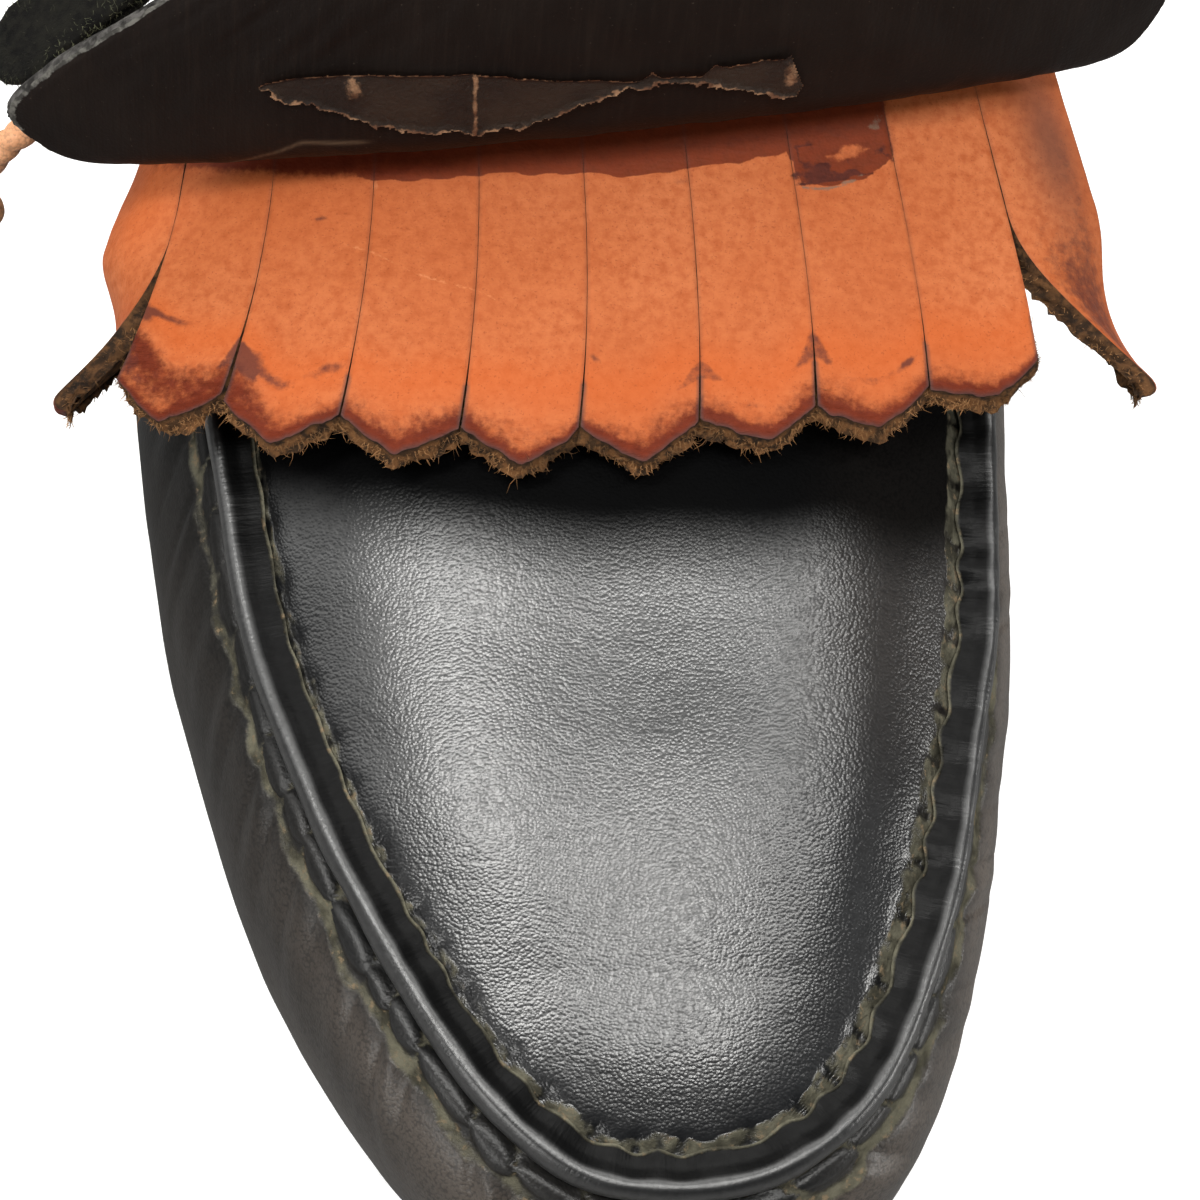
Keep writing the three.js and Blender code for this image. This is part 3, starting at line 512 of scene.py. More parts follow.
# %% The last
LENGTH, BALL_WIDTH, INSTEP, SIDE = 300.0, 105.0, 74.0, 20.0
TOE_SPRING, SOLE_THICKNESS, SOLE_INSET, CLEARANCE = 9.0, 5.0, 2.5, 0.3
HEEL_HEIGHT, HEEL_LENGTH, HEEL_TAPER, LIFT = 20.0, 62.0, 2.0, 6.0
WALL, TUCK, HEEL_LEAN, THROAT = 2.2, 4.0, 7.0, 140.0
TOE_ROUND, TOE_RISE, HEEL_ROUND = 58.0, 26.0, 36.0
FEATHER = SOLE_THICKNESS + CLEARANCE
HEEL_MIDDLE = LENGTH - SOLE_INSET - HEEL_LENGTH / 2
COLLAR = (64.0, 59.0, 84.0)
SECTIONS = [
    # at, swing, lateral, medial, crown, widest, square
    (0.0, 0.1, 0.315, 0.385, 0.36, 0.45, 2.7),
    (0.083, 0.085, 0.375, 0.39, 0.48, 0.5, 2.6),
    (0.167, 0.06, 0.434, 0.42, 0.585, 0.53, 2.5),
    (0.267, 0.036, 0.507, 0.46, 0.67, 0.56, 2.4),
    (0.367, 0.012, 0.54, 0.47, 0.75, 0.6, 2.25),
    (0.467, 0.0, 0.527, 0.435, 0.86, 0.7, 2.15),
    (0.567, -0.01, 0.465, 0.38, 0.95, 0.8, 2.2),
    (0.667, -0.01, 0.4, 0.345, 1.0, 0.9, 2.5),
    (0.767, -0.005, 0.357, 0.333, 1.0, 1.0, 2.8),
    (0.867, 0.0, 0.338, 0.329, 0.99, 1.0, 3.0),
    (1.0, 0.0, 0.329, 0.324, 0.99, 1.0, 3.0),
]
BOTTOM = [
    # at, spring, pitch
    (0.0, 1.0, 0.0),
    (0.083, 0.46, 0.0),
    (0.167, 0.14, 0.0),
    (0.24, 0.0, 0.0),
    (0.4, 0.0, 0.0),
    (0.467, 0.0, 0.1),
    (0.567, 0.0, 0.4),
    (0.667, 0.0, 0.74),
    (0.78, 0.0, 1.0),
    (1.0, 0.0, 1.0),
]
TOPLINE = [
    # along, front, side, back
    (0.0, 1.0, 0.0, 0.0),
    (0.16, 0.35, 0.65, 0.0),
    (0.36, 0.0, 1.0, 0.0),
    (0.6, 0.0, 0.85, 0.15),
    (0.85, 0.0, 0.2, 0.8),
    (1.0, 0.0, 0.0, 1.0),
]


def table(rows, place):
    """Every column of a table at each place, along curves that don't overshoot its rows."""
    rows = np.array(rows, float)
    key, value = rows[:, 0], rows[:, 1:]
    place = np.clip(np.asarray(place, float), key[0], key[-1])
    step = np.diff(key)
    slope = np.diff(value, axis=0) / step[:, None]
    same = slope[:-1] * slope[1:]
    steady = np.where(same <= 0, 0, 2 * same / np.where(same <= 0, 1, slope[:-1] + slope[1:]))
    tangent = np.vstack([slope[:1], steady, slope[-1:]])
    i = np.clip(np.searchsorted(key, place, side="left") - 1, 0, len(step) - 1)
    t = ((place - key[i]) / step[i])[..., None]
    h = step[i][..., None]
    rise = value[i] + (value[i + 1] - value[i]) * t * t * (3 - 2 * t)
    made = rise + t * (1 - t) ** 2 * h * tangent[i] - t * t * (1 - t) * h * tangent[i + 1]
    return np.moveaxis(made, -1, 0)


def mix(a, b, t):
    return a + (b - a) * t


def smooth(t):
    t = np.clip(t, 0, 1)
    return t * t * (3 - 2 * t)


def rounded(distance, reach, square):
    left = 1 - np.clip(distance / reach, 0, 1)
    return (1 - left**square) ** (1 / square)


def section(d):
    swing, lateral, medial, crown, widest, square = table(SECTIONS, d / LENGTH)
    spring, pitch = table(BOTTOM, d / LENGTH)
    plan = rounded(d, TOE_ROUND, 2.35) * rounded(LENGTH - d, HEEL_ROUND, 2.2)
    feather = FEATHER + TOE_SPRING * spring + HEEL_HEIGHT * pitch
    low = feather + SIDE * widest
    top = low + (feather + INSTEP * crown - low) * rounded(d, TOE_RISE, 2.3)
    return SimpleNamespace(
        middle=BALL_WIDTH * swing,
        lateral=BALL_WIDTH * lateral * plan,
        medial=BALL_WIDTH * medial * plan,
        plan=plan,
        feather=feather,
        widest=low,
        top=top,
        square=square,
    )


def share_out(s, x):
    half = np.where(x < s.middle, s.lateral, s.medial)
    return np.abs(x - s.middle) / np.maximum(half, 1e-6)


def vamp_height(x, d):
    s = section(d)
    out = np.minimum(share_out(s, x), 1)
    return s.widest + (s.top - s.widest) * (1 - out**s.square) ** (1 / s.square)


def heel_shift(d, z):
    share = smooth((d - (LENGTH - 2 * HEEL_ROUND)) / (2 * HEEL_ROUND))
    base = FEATHER + HEEL_HEIGHT + SIDE
    rise = (z - base) / (COLLAR[2] - base)
    return -HEEL_LEAN * share * rise * rise * np.where(rise > 0, 1, 0.4)


def to_space(x, d, z):
    return np.stack([x, d - HEEL_MIDDLE + heel_shift(d, z), z], -1)


def unit(v):
    return v / np.maximum(np.linalg.norm(v, axis=-1, keepdims=True), 1e-9)


def length_along(line):
    """Length of a line of points from its first point to each of them."""
    return np.concatenate([[0], np.cumsum(np.linalg.norm(np.diff(line, axis=0), axis=1))])


def hill(offset, half, power=2):
    """1 in the middle, and falling off smoothly over half a width."""
    return np.exp(-((offset / half) ** power))


def on_vamp(x, d):
    return to_space(x, d, vamp_height(x, d))


def vamp_normal(x, d, reach=0.5):
    across = on_vamp(x + reach, d) - on_vamp(x - reach, d)
    along = on_vamp(x, d + reach) - on_vamp(x, d - reach)
    return unit(np.cross(across, along))


def topline_height(d):
    shares = table(TOPLINE, (d - THROAT) / (LENGTH - THROAT))
    return sum(height * share for height, share in zip(COLLAR, shares))


ball = section(np.array(120.0))
print("ball width", round(float(ball.lateral + ball.medial), 1))

# %% [markdown]
# The hand-sewn seam runs round the plug. It is found in plan, then measured along its own length, so that
# stitches, puckers and wrinkles can be spaced evenly as the sewer spaced them.

# %% The seam's path
SEAM_FROM_TOE, SEAM_END, SEAM_ROUND = 11.5, 168.0, 58.0
SEAM_MARGIN, SEAM_SQUARE = (11.2, 7.8), (2.2, 2.7)


def seam_place(share):
    """Plan place at a share of the way from the toe, below 0 on the lateral side."""
    d = mix(SEAM_FROM_TOE, SEAM_END, np.abs(share) ** 1.8)
    s = section(d)
    lateral = share < 0
    half = np.where(lateral, s.lateral, s.medial) / np.maximum(s.plan, 1e-6)
    margin = np.where(lateral, *SEAM_MARGIN)
    square = np.where(lateral, *SEAM_SQUARE)
    inner = (half - margin) * rounded(d - SEAM_FROM_TOE, SEAM_ROUND, square)
    return s.middle + np.where(lateral, -1, 1) * inner, d


TOE_POINT = 4000
dense_x, dense_d = seam_place(np.linspace(-1, 1, 2 * TOE_POINT + 1))
dense_run = length_along(on_vamp(dense_x, dense_d))
dense_run -= dense_run[TOE_POINT]


def seam_at(run):
    """Plan place of the seam at a length from the toe, below 0 on the lateral side."""
    return np.interp(run, dense_run, dense_x), np.interp(run, dense_run, dense_d)


def seam_reach(lateral_d, medial_d):
    """Lengths along the seam, at which its two arms reach the given distances from the toe."""
    lateral = np.interp(lateral_d, dense_d[TOE_POINT::-1], dense_run[TOE_POINT::-1])
    return lateral, np.interp(medial_d, dense_d[TOE_POINT:], dense_run[TOE_POINT:])


print("seam from", round(dense_run[0]), "to", round(dense_run[-1]), "mm")

# %% [markdown]
# Every piece is written by one function. It takes points in millimetres, faces, a finish and the name of the
# solid that it stands for. Masks ride along as attributes of the mesh, for the finishes to read.

# %% Writing pieces
def grid(rows, columns, start=0, closed=False, flip=False):
    j, i = np.meshgrid(np.arange(rows - 1), np.arange(columns if closed else columns - 1), indexing="ij")
    after = (i + 1) % columns
    this_row, next_row = j * columns, (j + 1) * columns
    faces = np.stack([this_row + i, this_row + after, next_row + after, next_row + i], -1)
    faces = faces.reshape(-1, 4) + start
    return faces[:, ::-1] if flip else faces


def write_piece(name, points, faces, material, slot, node, **masks):
    mesh = bpy.data.meshes.new(name)
    points = np.asarray(points, float).reshape(-1, 3) * MM
    faces = [list(map(int, f)) for f in faces]
    mesh.from_pydata(points.tolist(), [], faces)
    mesh.polygons.foreach_set("use_smooth", [True] * len(mesh.polygons))
    for key, values in masks.items():
        attribute = mesh.attributes.new(key, "FLOAT", "POINT")
        attribute.data.foreach_set("value", np.asarray(values, np.float32).ravel())
    mesh.materials.append(material)
    mesh.update()
    piece = bpy.data.objects.new(name, mesh)
    bpy.context.collection.objects.link(piece)
    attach(piece, "root")
    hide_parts(node)
    triangles = sum(len(f) - 2 for f in faces)
    print(f"{name}: {triangles} triangles")
    return piece


def grid_normals(points):
    """Normals of a grid of points, shape (rows, columns, 3)."""
    down = np.gradient(points, axis=0)
    across = np.gradient(points, axis=1)
    return unit(np.cross(across, down))


def waves(seed, count, shortest, longest):
    """A smooth wandering curve of one variable, from a few sines with seeded phases."""
    own = np.random.default_rng(seed)
    lengths = own.uniform(shortest, longest, count)
    phases = own.uniform(0, 2 * math.pi, count)

    def value(run):
        run = np.asarray(run, float)
        swings = [np.sin(2 * math.pi * run / length + phase) for length, phase in zip(lengths, phases)]
        return sum(swings) / math.sqrt(count)

    return value


def hash_noise(x, y, seed=0):
    """Smooth value noise over a plane, from -1 to 1."""
    size = 256
    lattice = np.random.default_rng(seed).uniform(-1, 1, (size, size))
    i, j = np.floor(x).astype(int), np.floor(y).astype(int)
    u, v = smooth(x - i), smooth(y - j)
    i, j, after_i, after_j = i % size, j % size, (i + 1) % size, (j + 1) % size
    near = mix(lattice[i, j], lattice[after_i, j], u)
    return mix(near, mix(lattice[i, after_j], lattice[after_i, after_j], u), v)


# %% [markdown]
# The lace comes first, because it hangs free. It is a tan thong of two twisted strands that leaves the
# lateral quarter, bows out behind the flap and hangs down, and its end is tied in a knot. Only its first
# bend shows in the photograph.

# %% Lace
LACE_ROUTE = [
    (0.503, 0.48, 0.568),
    (0.552, 0.467, 0.581),
    (0.595, 0.45, 0.581),
    (0.633, 0.438, 0.576),
    (0.675, 0.43, 0.553),
    (0.708, 0.423, 0.49),
    (0.722, 0.418, 0.4),
]
LACE_RADIUS = 1.7


def beside(out, at, height):
    return np.array([-out * BALL_WIDTH, at * LENGTH - HEEL_MIDDLE, height * INSTEP])


def curve_through(points, count):
    """Evenly spaced points on a smooth curve through the given ones."""
    points = np.array(points, float)
    before = 2 * points[0] - points[1]
    after = 2 * points[-1] - points[-2]
    knots = np.vstack([before, points, after])
    made = []
    for k in range(1, len(knots) - 2):
        t = np.linspace(0, 1, 40, endpoint=False)[:, None]
        p0, p1, p2, p3 = knots[k - 1 : k + 3]
        square = (2 * p0 - 5 * p1 + 4 * p2 - p3) * t**2
        cube = (3 * p1 - p0 - 3 * p2 + p3) * t**3
        made.append(0.5 * (2 * p1 + (p2 - p0) * t + square + cube))
    made = np.vstack([*made, points[-1:]])
    run = length_along(made)
    even = np.linspace(0, run[-1], count)
    return np.stack([np.interp(even, run, made[:, k]) for k in range(3)], -1), run[-1]


def frames_along(line):
    """Two directions square to the line at each point, without sudden twist."""
    ahead = unit(np.gradient(line, axis=0))
    side = np.zeros_like(line)
    current = np.array([0.0, 0.0, 1.0])
    for k, t in enumerate(ahead):
        current = current - t * current.dot(t)
        current /= max(np.linalg.norm(current), 1e-9)
        side[k] = current
    return side, np.cross(ahead, side)


def tube(line, radius, sides):
    """Points of a tube with a radius of shape (rows,), (sides,) or (rows, sides), and its faces with ends."""
    side, other = frames_along(line)
    angle = np.linspace(0, 2 * math.pi, sides, endpoint=False)
    radius = np.broadcast_to(radius, (len(line), sides))[..., None]
    ring = side[:, None] * np.cos(angle)[None, :, None] + other[:, None] * np.sin(angle)[None, :, None]
    points = line[:, None] + ring * radius
    faces = grid(len(line), sides, closed=True).tolist()
    count = len(line) * sides
    faces += [list(range(sides))[::-1], list(range(count - sides, count))]
    return points.reshape(-1, 3), faces


LACE_SIDES, LACE_TURN = 20, 5.5
lace_line, lace_length = curve_through([beside(*row) for row in LACE_ROUTE], 140)
twist = np.linspace(0, lace_length / LACE_TURN * 2 * math.pi, len(lace_line))[:, None]
around = np.linspace(0, 2 * math.pi, LACE_SIDES, endpoint=False)[None, :]
lace_radius = LACE_RADIUS * (0.86 + 0.2 * np.abs(np.cos(around - twist)) ** 0.8)
lace_points, lace_faces = tube(lace_line, lace_radius, LACE_SIDES)
lace = write_piece("lace_thong", lace_points, lace_faces, LACE, "lace_leather", "lace")
KNOT_ROWS, KNOT_SIDES = 89, 12
t = np.linspace(0, 2 * math.pi, KNOT_ROWS + 1)
knot_x, knot_y = np.sin(t) + 2 * np.sin(2 * t), np.cos(t) - 2 * np.cos(2 * t)
knot_curve = np.stack([knot_x, knot_y, -1.6 * np.sin(3 * t)], -1) * 0.72
knot_line = knot_curve + lace_line[-1] + np.array([0, 0, -1.2])
knot_points = tube(knot_line[:-1], 1.0, KNOT_SIDES)[0]
knot_faces = grid(KNOT_ROWS, KNOT_SIDES, closed=True).tolist()
knot_last = (KNOT_ROWS - 1) * KNOT_SIDES
for k in range(KNOT_SIDES):
    after = (k + 1) % KNOT_SIDES
    knot_faces.append([knot_last + k, knot_last + after, after, k])
knot = write_piece("lace_knot", knot_points, knot_faces, LACE, "lace_leather", "lace")
print("lace", round(lace_length, 1), "mm")

# %% [markdown]
# Outside the seam one piece of leather wraps the foot. At the toe and sides it climbs from the sole to the
# seam, and behind the throat it climbs to the topline. The grid of this wall therefore has one column for
# each place along the shoe, from its top edge down over the widest line and under to the sole.

# %% Columns of the wall
outline_share = np.linspace(-1, 1, 12001)
outline_d = THROAT * 1.3 * np.abs(outline_share) ** 2.3
outline_s = section(outline_d)
outline_x = outline_s.middle + np.where(outline_share < 0, -outline_s.lateral, outline_s.medial)


def outline_opposite(x, d, normal):
    """Where a line from each plan place along its normal meets the outline of the last."""
    found = np.zeros((len(x), 2))
    for k in range(len(x)):
        dx, dd = outline_x - x[k], outline_d - d[k]
        ahead = dx * normal[k, 0] + dd * normal[k, 1] > 0
        beside_it = dx * normal[k, 1] - dd * normal[k, 0]
        crossing = np.flatnonzero(ahead[:-1] & ahead[1:] & (beside_it[:-1] * beside_it[1:] <= 0))
        i = crossing[0]
        t = beside_it[i] / (beside_it[i] - beside_it[i + 1] + 1e-12)
        found[k] = mix(outline_x[i], outline_x[i + 1], t), mix(outline_d[i], outline_d[i + 1], t)
    return found


COLUMN_STEP, SMOOTHED_COLUMNS, ACROSS = 0.46, 25, 240
throat_run = seam_reach(THROAT, THROAT)
front_run = np.arange(*throat_run, COLUMN_STEP)
front_x, front_d = seam_at(front_run)
tangent = unit(np.stack([np.gradient(front_x), np.gradient(front_d)], -1))
normal = np.stack([-tangent[:, 1], tangent[:, 0]], -1)
PLUG_MIDDLE = (4, 80)
from_middle = np.stack([front_x - PLUG_MIDDLE[0], front_d - PLUG_MIDDLE[1]], -1)
normal *= np.sign(np.sum(normal * from_middle, -1, keepdims=True))
front_out = outline_opposite(front_x, front_d, normal)
kernel = np.ones(SMOOTHED_COLUMNS) / SMOOTHED_COLUMNS
padded = np.pad(front_out, ((SMOOTHED_COLUMNS // 2, SMOOTHED_COLUMNS // 2), (0, 0)), mode="edge")
smoothed = np.stack([np.convolve(padded[:, k], kernel, "valid") for k in range(2)], -1)
place_in_row = np.arange(len(front_d))
edge_fade = smooth(np.minimum(place_in_row, place_in_row[::-1]) / 30)[:, None]
front_out_d = mix(front_out, smoothed, edge_fade)[:, 1]
front_s = section(front_out_d)
lateral_x, medial_x = front_s.middle - front_s.lateral, front_s.middle + front_s.medial
at_side = np.where(front_out[:, 0] < front_s.middle, lateral_x, medial_x)
at_toe = np.clip(front_out[:, 0], lateral_x, medial_x)
front_out_x = np.where(front_out_d < 3, at_toe, at_side)
print("wall columns at the front:", len(front_run))


def wall_curve_front(k):
    bend = np.sin(np.linspace(0, math.pi / 2, ACROSS))
    x = mix(front_x[k], front_out_x[k], bend)
    d = mix(front_d[k], front_out_d[k], bend)
    return on_vamp(x, d)


def wall_curve_back(side, d):
    s = section(np.array(d))
    half = s.lateral if side < 0 else s.medial
    rise = min(max((float(topline_height(np.array(d))) - s.widest) / (s.top - s.widest), 0), 1)
    start = math.asin(rise ** (s.square / 2))
    angle = np.linspace(start, 0, ACROSS)
    x = s.middle + side * half * np.cos(angle) ** (2 / s.square)
    z = s.widest + (s.top - s.widest) * np.sin(angle) ** (2 / s.square)
    return to_space(x, np.full(ACROSS, float(d)), z)


def tuck_curve(last, inward, feather):
    """Points that carry the wall in under the foot from its widest line."""
    down = np.linspace(0, 1, 40)[1:, None]
    drawn = TUCK * (1 - np.sqrt(1 - down * down))
    z = mix(last[2], feather, down)
    turned_in = np.linspace(0, 3, 8)[1:, None]
    bottom = np.hstack([last[None, :2] + inward[None] * drawn, z])
    level = np.full((len(turned_in), 1), feather)
    under = np.hstack([last[None, :2] + inward[None] * (TUCK + turned_in), level])
    return np.vstack([bottom, under])


back_share = np.linspace(0, 1, 190)[1:]
back_d = THROAT + (LENGTH - 0.02 - THROAT) * np.sin(back_share * math.pi / 2) ** 0.94
WALL_ROWS = 74
columns, column_run = [], []


def add_column(upper_curve, inward, d, run):
    """A column of the wall, with its rows closest at the seam, where the pillows are."""
    feather = float(section(np.array(d)).feather)
    curve = np.vstack([upper_curve, tuck_curve(upper_curve[-1], inward, feather)])
    down = length_along(curve)
    want = down[-1] * np.linspace(0, 1, WALL_ROWS) ** 1.35
    columns.append(np.stack([np.interp(want, down, curve[:, k]) for k in range(3)], -1))
    column_run.append(np.stack([np.full(WALL_ROWS, run), want], -1))


def back_inward(side, d):
    """Plan direction into the shoe, square to its outline."""
    before, after = d - 0.05, min(d + 0.05, LENGTH - 0.001)
    near = [section(np.array(at)) for at in (before, after)]
    edge = [s.middle + side * (s.lateral if side < 0 else s.medial) for s in near]
    step = np.array([edge[1] - edge[0], after - before])
    inward = np.array([-step[1], step[0]]) * side
    return inward / np.linalg.norm(inward)


for d in back_d[::-1]:
    add_column(wall_curve_back(-1, d), back_inward(-1, d), d, throat_run[0] - (d - THROAT))
front_inward = unit(np.stack([front_x - front_out_x, front_d - front_out_d], -1))
for k in range(len(front_run)):
    add_column(wall_curve_front(k), front_inward[k], front_out_d[k], front_run[k])
for d in back_d:
    add_column(wall_curve_back(1, d), back_inward(1, d), d, throat_run[1] + (d - THROAT))
wall = np.array([*columns, columns[0]])
wall_run, wall_down = np.moveaxis(np.array([*column_run, column_run[0]]), -1, 0)
print("wall grid", wall.shape[:2], "seam to throat", [round(float(r)) for r in throat_run])

# %% [markdown]
# Sewing a long edge to a shorter one gathers it. Outside the seam each stitch pulls up one small pillow of
# leather, and below the pillows the gathers fade out as soft ribs down the wall. The pillows are fullest at
# the lateral toe. Towards the throat they flatten and old polish fills the gaps.

# %% Gathers and pillows
STITCH_PITCH, STITCH_DRIFT = 6.7, 0.16
PILLOW_MIDDLE, PILLOW_FOOT = 4.2, 6.7
PILLOW_STRENGTH = [
    # length along the seam from the toe, fullness
    (-140, 0.15),
    (-95, 0.3),
    (-62, 0.75),
    (-40, 1.0),
    (-12, 1.0),
    (0, 0.75),
    (14, 0.5),
    (40, 0.45),
    (70, 0.4),
    (120, 0.2),
]
jitter = waves(11, 5, 17, 43)


def stitch_phase(run):
    return run / STITCH_PITCH + STITCH_DRIFT * jitter(run)


def gather_relief(run, down):
    """Height of pillows and ribs outside the seam, and where residue lies between them."""
    phase = stitch_phase(run - 0.55 * down)
    cell = phase - np.floor(phase) - 0.5
    number = np.floor(phase)
    size = 1 + 0.25 * np.sin(number * 2.4) * np.cos(number * 1.1)
    strength = np.interp(run, *np.transpose(PILLOW_STRENGTH))
    middle = PILLOW_MIDDLE + 0.3 * np.sin(number * 1.7)
    reach = np.maximum(1 - (2.02 * cell) ** 2, 0) ** 0.5 * 1.75 * size * (0.5 + 0.5 * strength)
    lens = np.maximum(1 - ((down - middle) / np.maximum(reach, 0.05)) ** 2, 0)
    pillow = strength * lens**0.6
    own = 0.55 + 0.45 * np.sin(number * 3.7 + 1.0)
    ribs = np.cos(2 * math.pi * cell) * hill(down - 8, 8) * smooth((down - 4.5) / 4) * own
    rib_size = 0.5 * np.interp(run, [-170, -120, -60, 60, 120, 170], [0, 0.6, 1, 0.8, 0.4, 0])
    valley = 0.35 * hill(down - PILLOW_FOOT, 1.0) + 0.5 * hill(down - 2.5, 0.6)
    relief = pillow + ribs * rib_size - valley * np.interp(np.abs(run), [0, 120, 150], [1, 0.8, 0])
    gap = np.exp(-((cell - 0.5) ** 2) / 0.008) + np.exp(-((cell + 0.5) ** 2) / 0.008)
    under = PILLOW_FOOT + 0.8 * hash_noise(run / 3.1, down * 0 + 2, 14)
    crevice = 0.75 * hill(down - 2.55, 0.4) + hill(down - under, 1.1)
    crevice += 0.9 * gap * hill(down - PILLOW_MIDDLE, 1.9)
    crevice *= 1 - 0.95 * np.minimum(lens * 2.5, 1) * strength
    front = np.interp(run, [-150, -125, -60, 0, 60, 130, 150], [0, 0.7, 0.9, 1, 1, 1, 0])
    front = front * (0.8 + 0.3 * hash_noise(run / 7, down * 0 + 1, 15))
    return relief, np.clip(crevice, 0, 1) * front


relief, crevice = gather_relief(wall_run, wall_down)
soft = hash_noise(wall_run / 9, wall_down / 7, 3) * 0.2
soft = soft + hash_noise(wall_run / 4.1, wall_down / 3.6, 4) * 0.05
soft_front = np.interp(np.abs(wall_run), [0, 120, 170], [1, 1, 0.3]) * smooth(wall_down / 2)
edge_drop = 0.9 * (1 - smooth(wall_down / 1.6)) * (np.abs(wall_run) < 150)
wall_normal = -grid_normals(wall)
if np.mean(wall_normal[len(wall) // 2, 20] * np.array([0, -1, 0.3])) < 0:
    wall_normal = -wall_normal
over_feather = smooth((wall[..., 2] - section(wall[..., 1] + HEEL_MIDDLE).feather) / 4)
lift = (relief + soft * soft_front - edge_drop) * over_feather
wall_shaped = wall + wall_normal * lift[..., None]
# Brown wear, fading out towards the lateral heel; on the medial wall the lighter brown is also painted light,
# the floor's reflection.
brown = smooth((wall_down - 5) / 6) * np.interp(wall_run, [-120, -60, 0, 60, 130], [0.0, 0.25, 0.7, 1, 1])
brown *= 0.6 + 0.4 * hash_noise(wall_run / 14, wall_down / 9, 8)
write_piece(
    "vamp_wall",
    wall_shaped,
    grid(wall.shape[0], wall.shape[1], flip=True),
    WALL_LEATHER,
    "black_leather",
    "upper",
    residue=crevice,
    brown=np.clip(brown, 0, 1),
    # Painted shade over the lateral side of the wall, strongest from the throat back.
    shelter=np.interp(wall_run, [-150, -100, -60, -30, 0], [0.65, 0.6, 0.35, 0.1, 0.0]),
)

# %% [markdown]
# Inside, a plain tan lining follows the wall at the leather's thickness. It is what shows through the collar.

# %% Lining
inner_rows = np.unique(np.linspace(0, WALL_ROWS - 1, 26).astype(int))
inner_columns = np.unique(np.concatenate([np.arange(0, len(wall), 4), [len(wall) - 1]]))
inside = (wall - wall_normal * WALL)[np.ix_(inner_columns, inner_rows)]
write_piece("lining", inside, grid(*inside.shape[:2]), LINING, "insole_leather", "upper")

# %% [markdown]
# The seam itself stands up as a rolled welt, glossy from brushing. Its outer flank is full and smooth. Its
# inner flank is steep, and it is scalloped where each stitch pulls the plug against it.

# %% Rolled welt
ROLL_ENDS, ROLL_STEP = (159, 158), 0.3
roll_run = np.arange(*seam_reach(*ROLL_ENDS), ROLL_STEP)
roll_x, roll_d = seam_at(roll_run)
roll_line = on_vamp(roll_x, roll_d)
roll_up = vamp_normal(roll_x, roll_d)
roll_ahead = unit(np.gradient(roll_line, axis=0))
roll_out = unit(np.cross(roll_up, roll_ahead))
roll_out *= np.sign(np.sum(roll_out * (roll_line - np.array([2, -190, 40])), -1, keepdims=True))
wander = waves(21, 4, 23, 61)(roll_run) * np.interp(roll_run, [-120, 0, 30, 120], [0.15, 0.2, 0.3, 0.55])
ROLL_SECTION = [
    # share of the way across, outwards, upwards: a full outer flank, and a steep inner one
    (0.0, 2.5, -0.3),
    (0.08, 2.5, 0.5),
    (0.18, 2.2, 1.5),
    (0.3, 1.65, 2.3),
    (0.42, 0.95, 2.85),
    (0.5, 0.3, 3.05),
    (0.58, -0.35, 2.85),
    (0.68, -0.9, 2.1),
    (0.8, -1.5, 1.15),
    (0.9, -2.2, 0.45),
    (1.0, -2.9, -0.2),
]
across_share = np.linspace(0, 1, 37)[None, :]
angle = across_share * math.pi
phase = stitch_phase(roll_run)
scallop = 0.5 - 0.5 * np.cos(2 * math.pi * phase)
pinch = np.interp(roll_run, [-130, -60, -20, 20, 60, 130], [0.25, 0.25, 0.5, 0.7, 1.0, 1.2])
outer_scale = 1 + 0.035 * waves(22, 4, 9, 29)(roll_run)
inner_scale = 1 + pinch * (scallop - 0.55) / 2.6
section_out, section_up = table(ROLL_SECTION, across_share)
wide = section_out * np.where(section_out > 0, outer_scale[:, None], inner_scale[:, None])
high = section_up * (1 + 0.02 * waves(23, 5, 12, 41)(roll_run) + 0.03 * scallop * pinch)[:, None]
roll = roll_line[:, None] + roll_out[:, None] * (wide + wander[:, None])[..., None]
roll = roll + roll_up[:, None] * high[..., None]
roll_across = angle * 2.4 + np.zeros_like(wide)
ripple = hash_noise(np.broadcast_to(roll_run[:, None] / 0.55, wide.shape), roll_across / 2.2, 5)
ripple_size = 0.008 * np.interp(np.abs(roll_run), [0, 60, 120], [1.4, 1.1, 0.8])[:, None]
roll_away = roll_up[:, None] * np.sin(angle)[..., None] + roll_out[:, None] * np.cos(angle)[..., None]
roll = roll + roll_away * (ripple * ripple_size)[..., None]
foot = np.clip(1 - np.abs(np.sin(angle)) / 0.22, 0, 1) + np.zeros_like(wide)
foot = foot * np.where(angle > math.pi / 2, 0.8, 0.55)
# Painted shade: the inner flank, towards the plug, is painted near black and unpolished.
flank = 0.9 * smooth((across_share - 0.57) / 0.1) + np.zeros_like(wide)
write_piece(
    "rolled_welt",
    roll,
    grid(*roll.shape[:2]),
    ROLL_LEATHER,
    "black_leather",
    "upper",
    residue=foot,
    shelter=flank,
    run=roll_run[:, None] + 400 + np.zeros_like(wide),
    across=roll_across,
)

# %% [markdown]
# The plug is one soft panel inside the welt. Its grain is the finest on the shoe. It dips along its edge at
# every stitch, swells gently between the welt's arms, and its flex left a few shallow hollows.

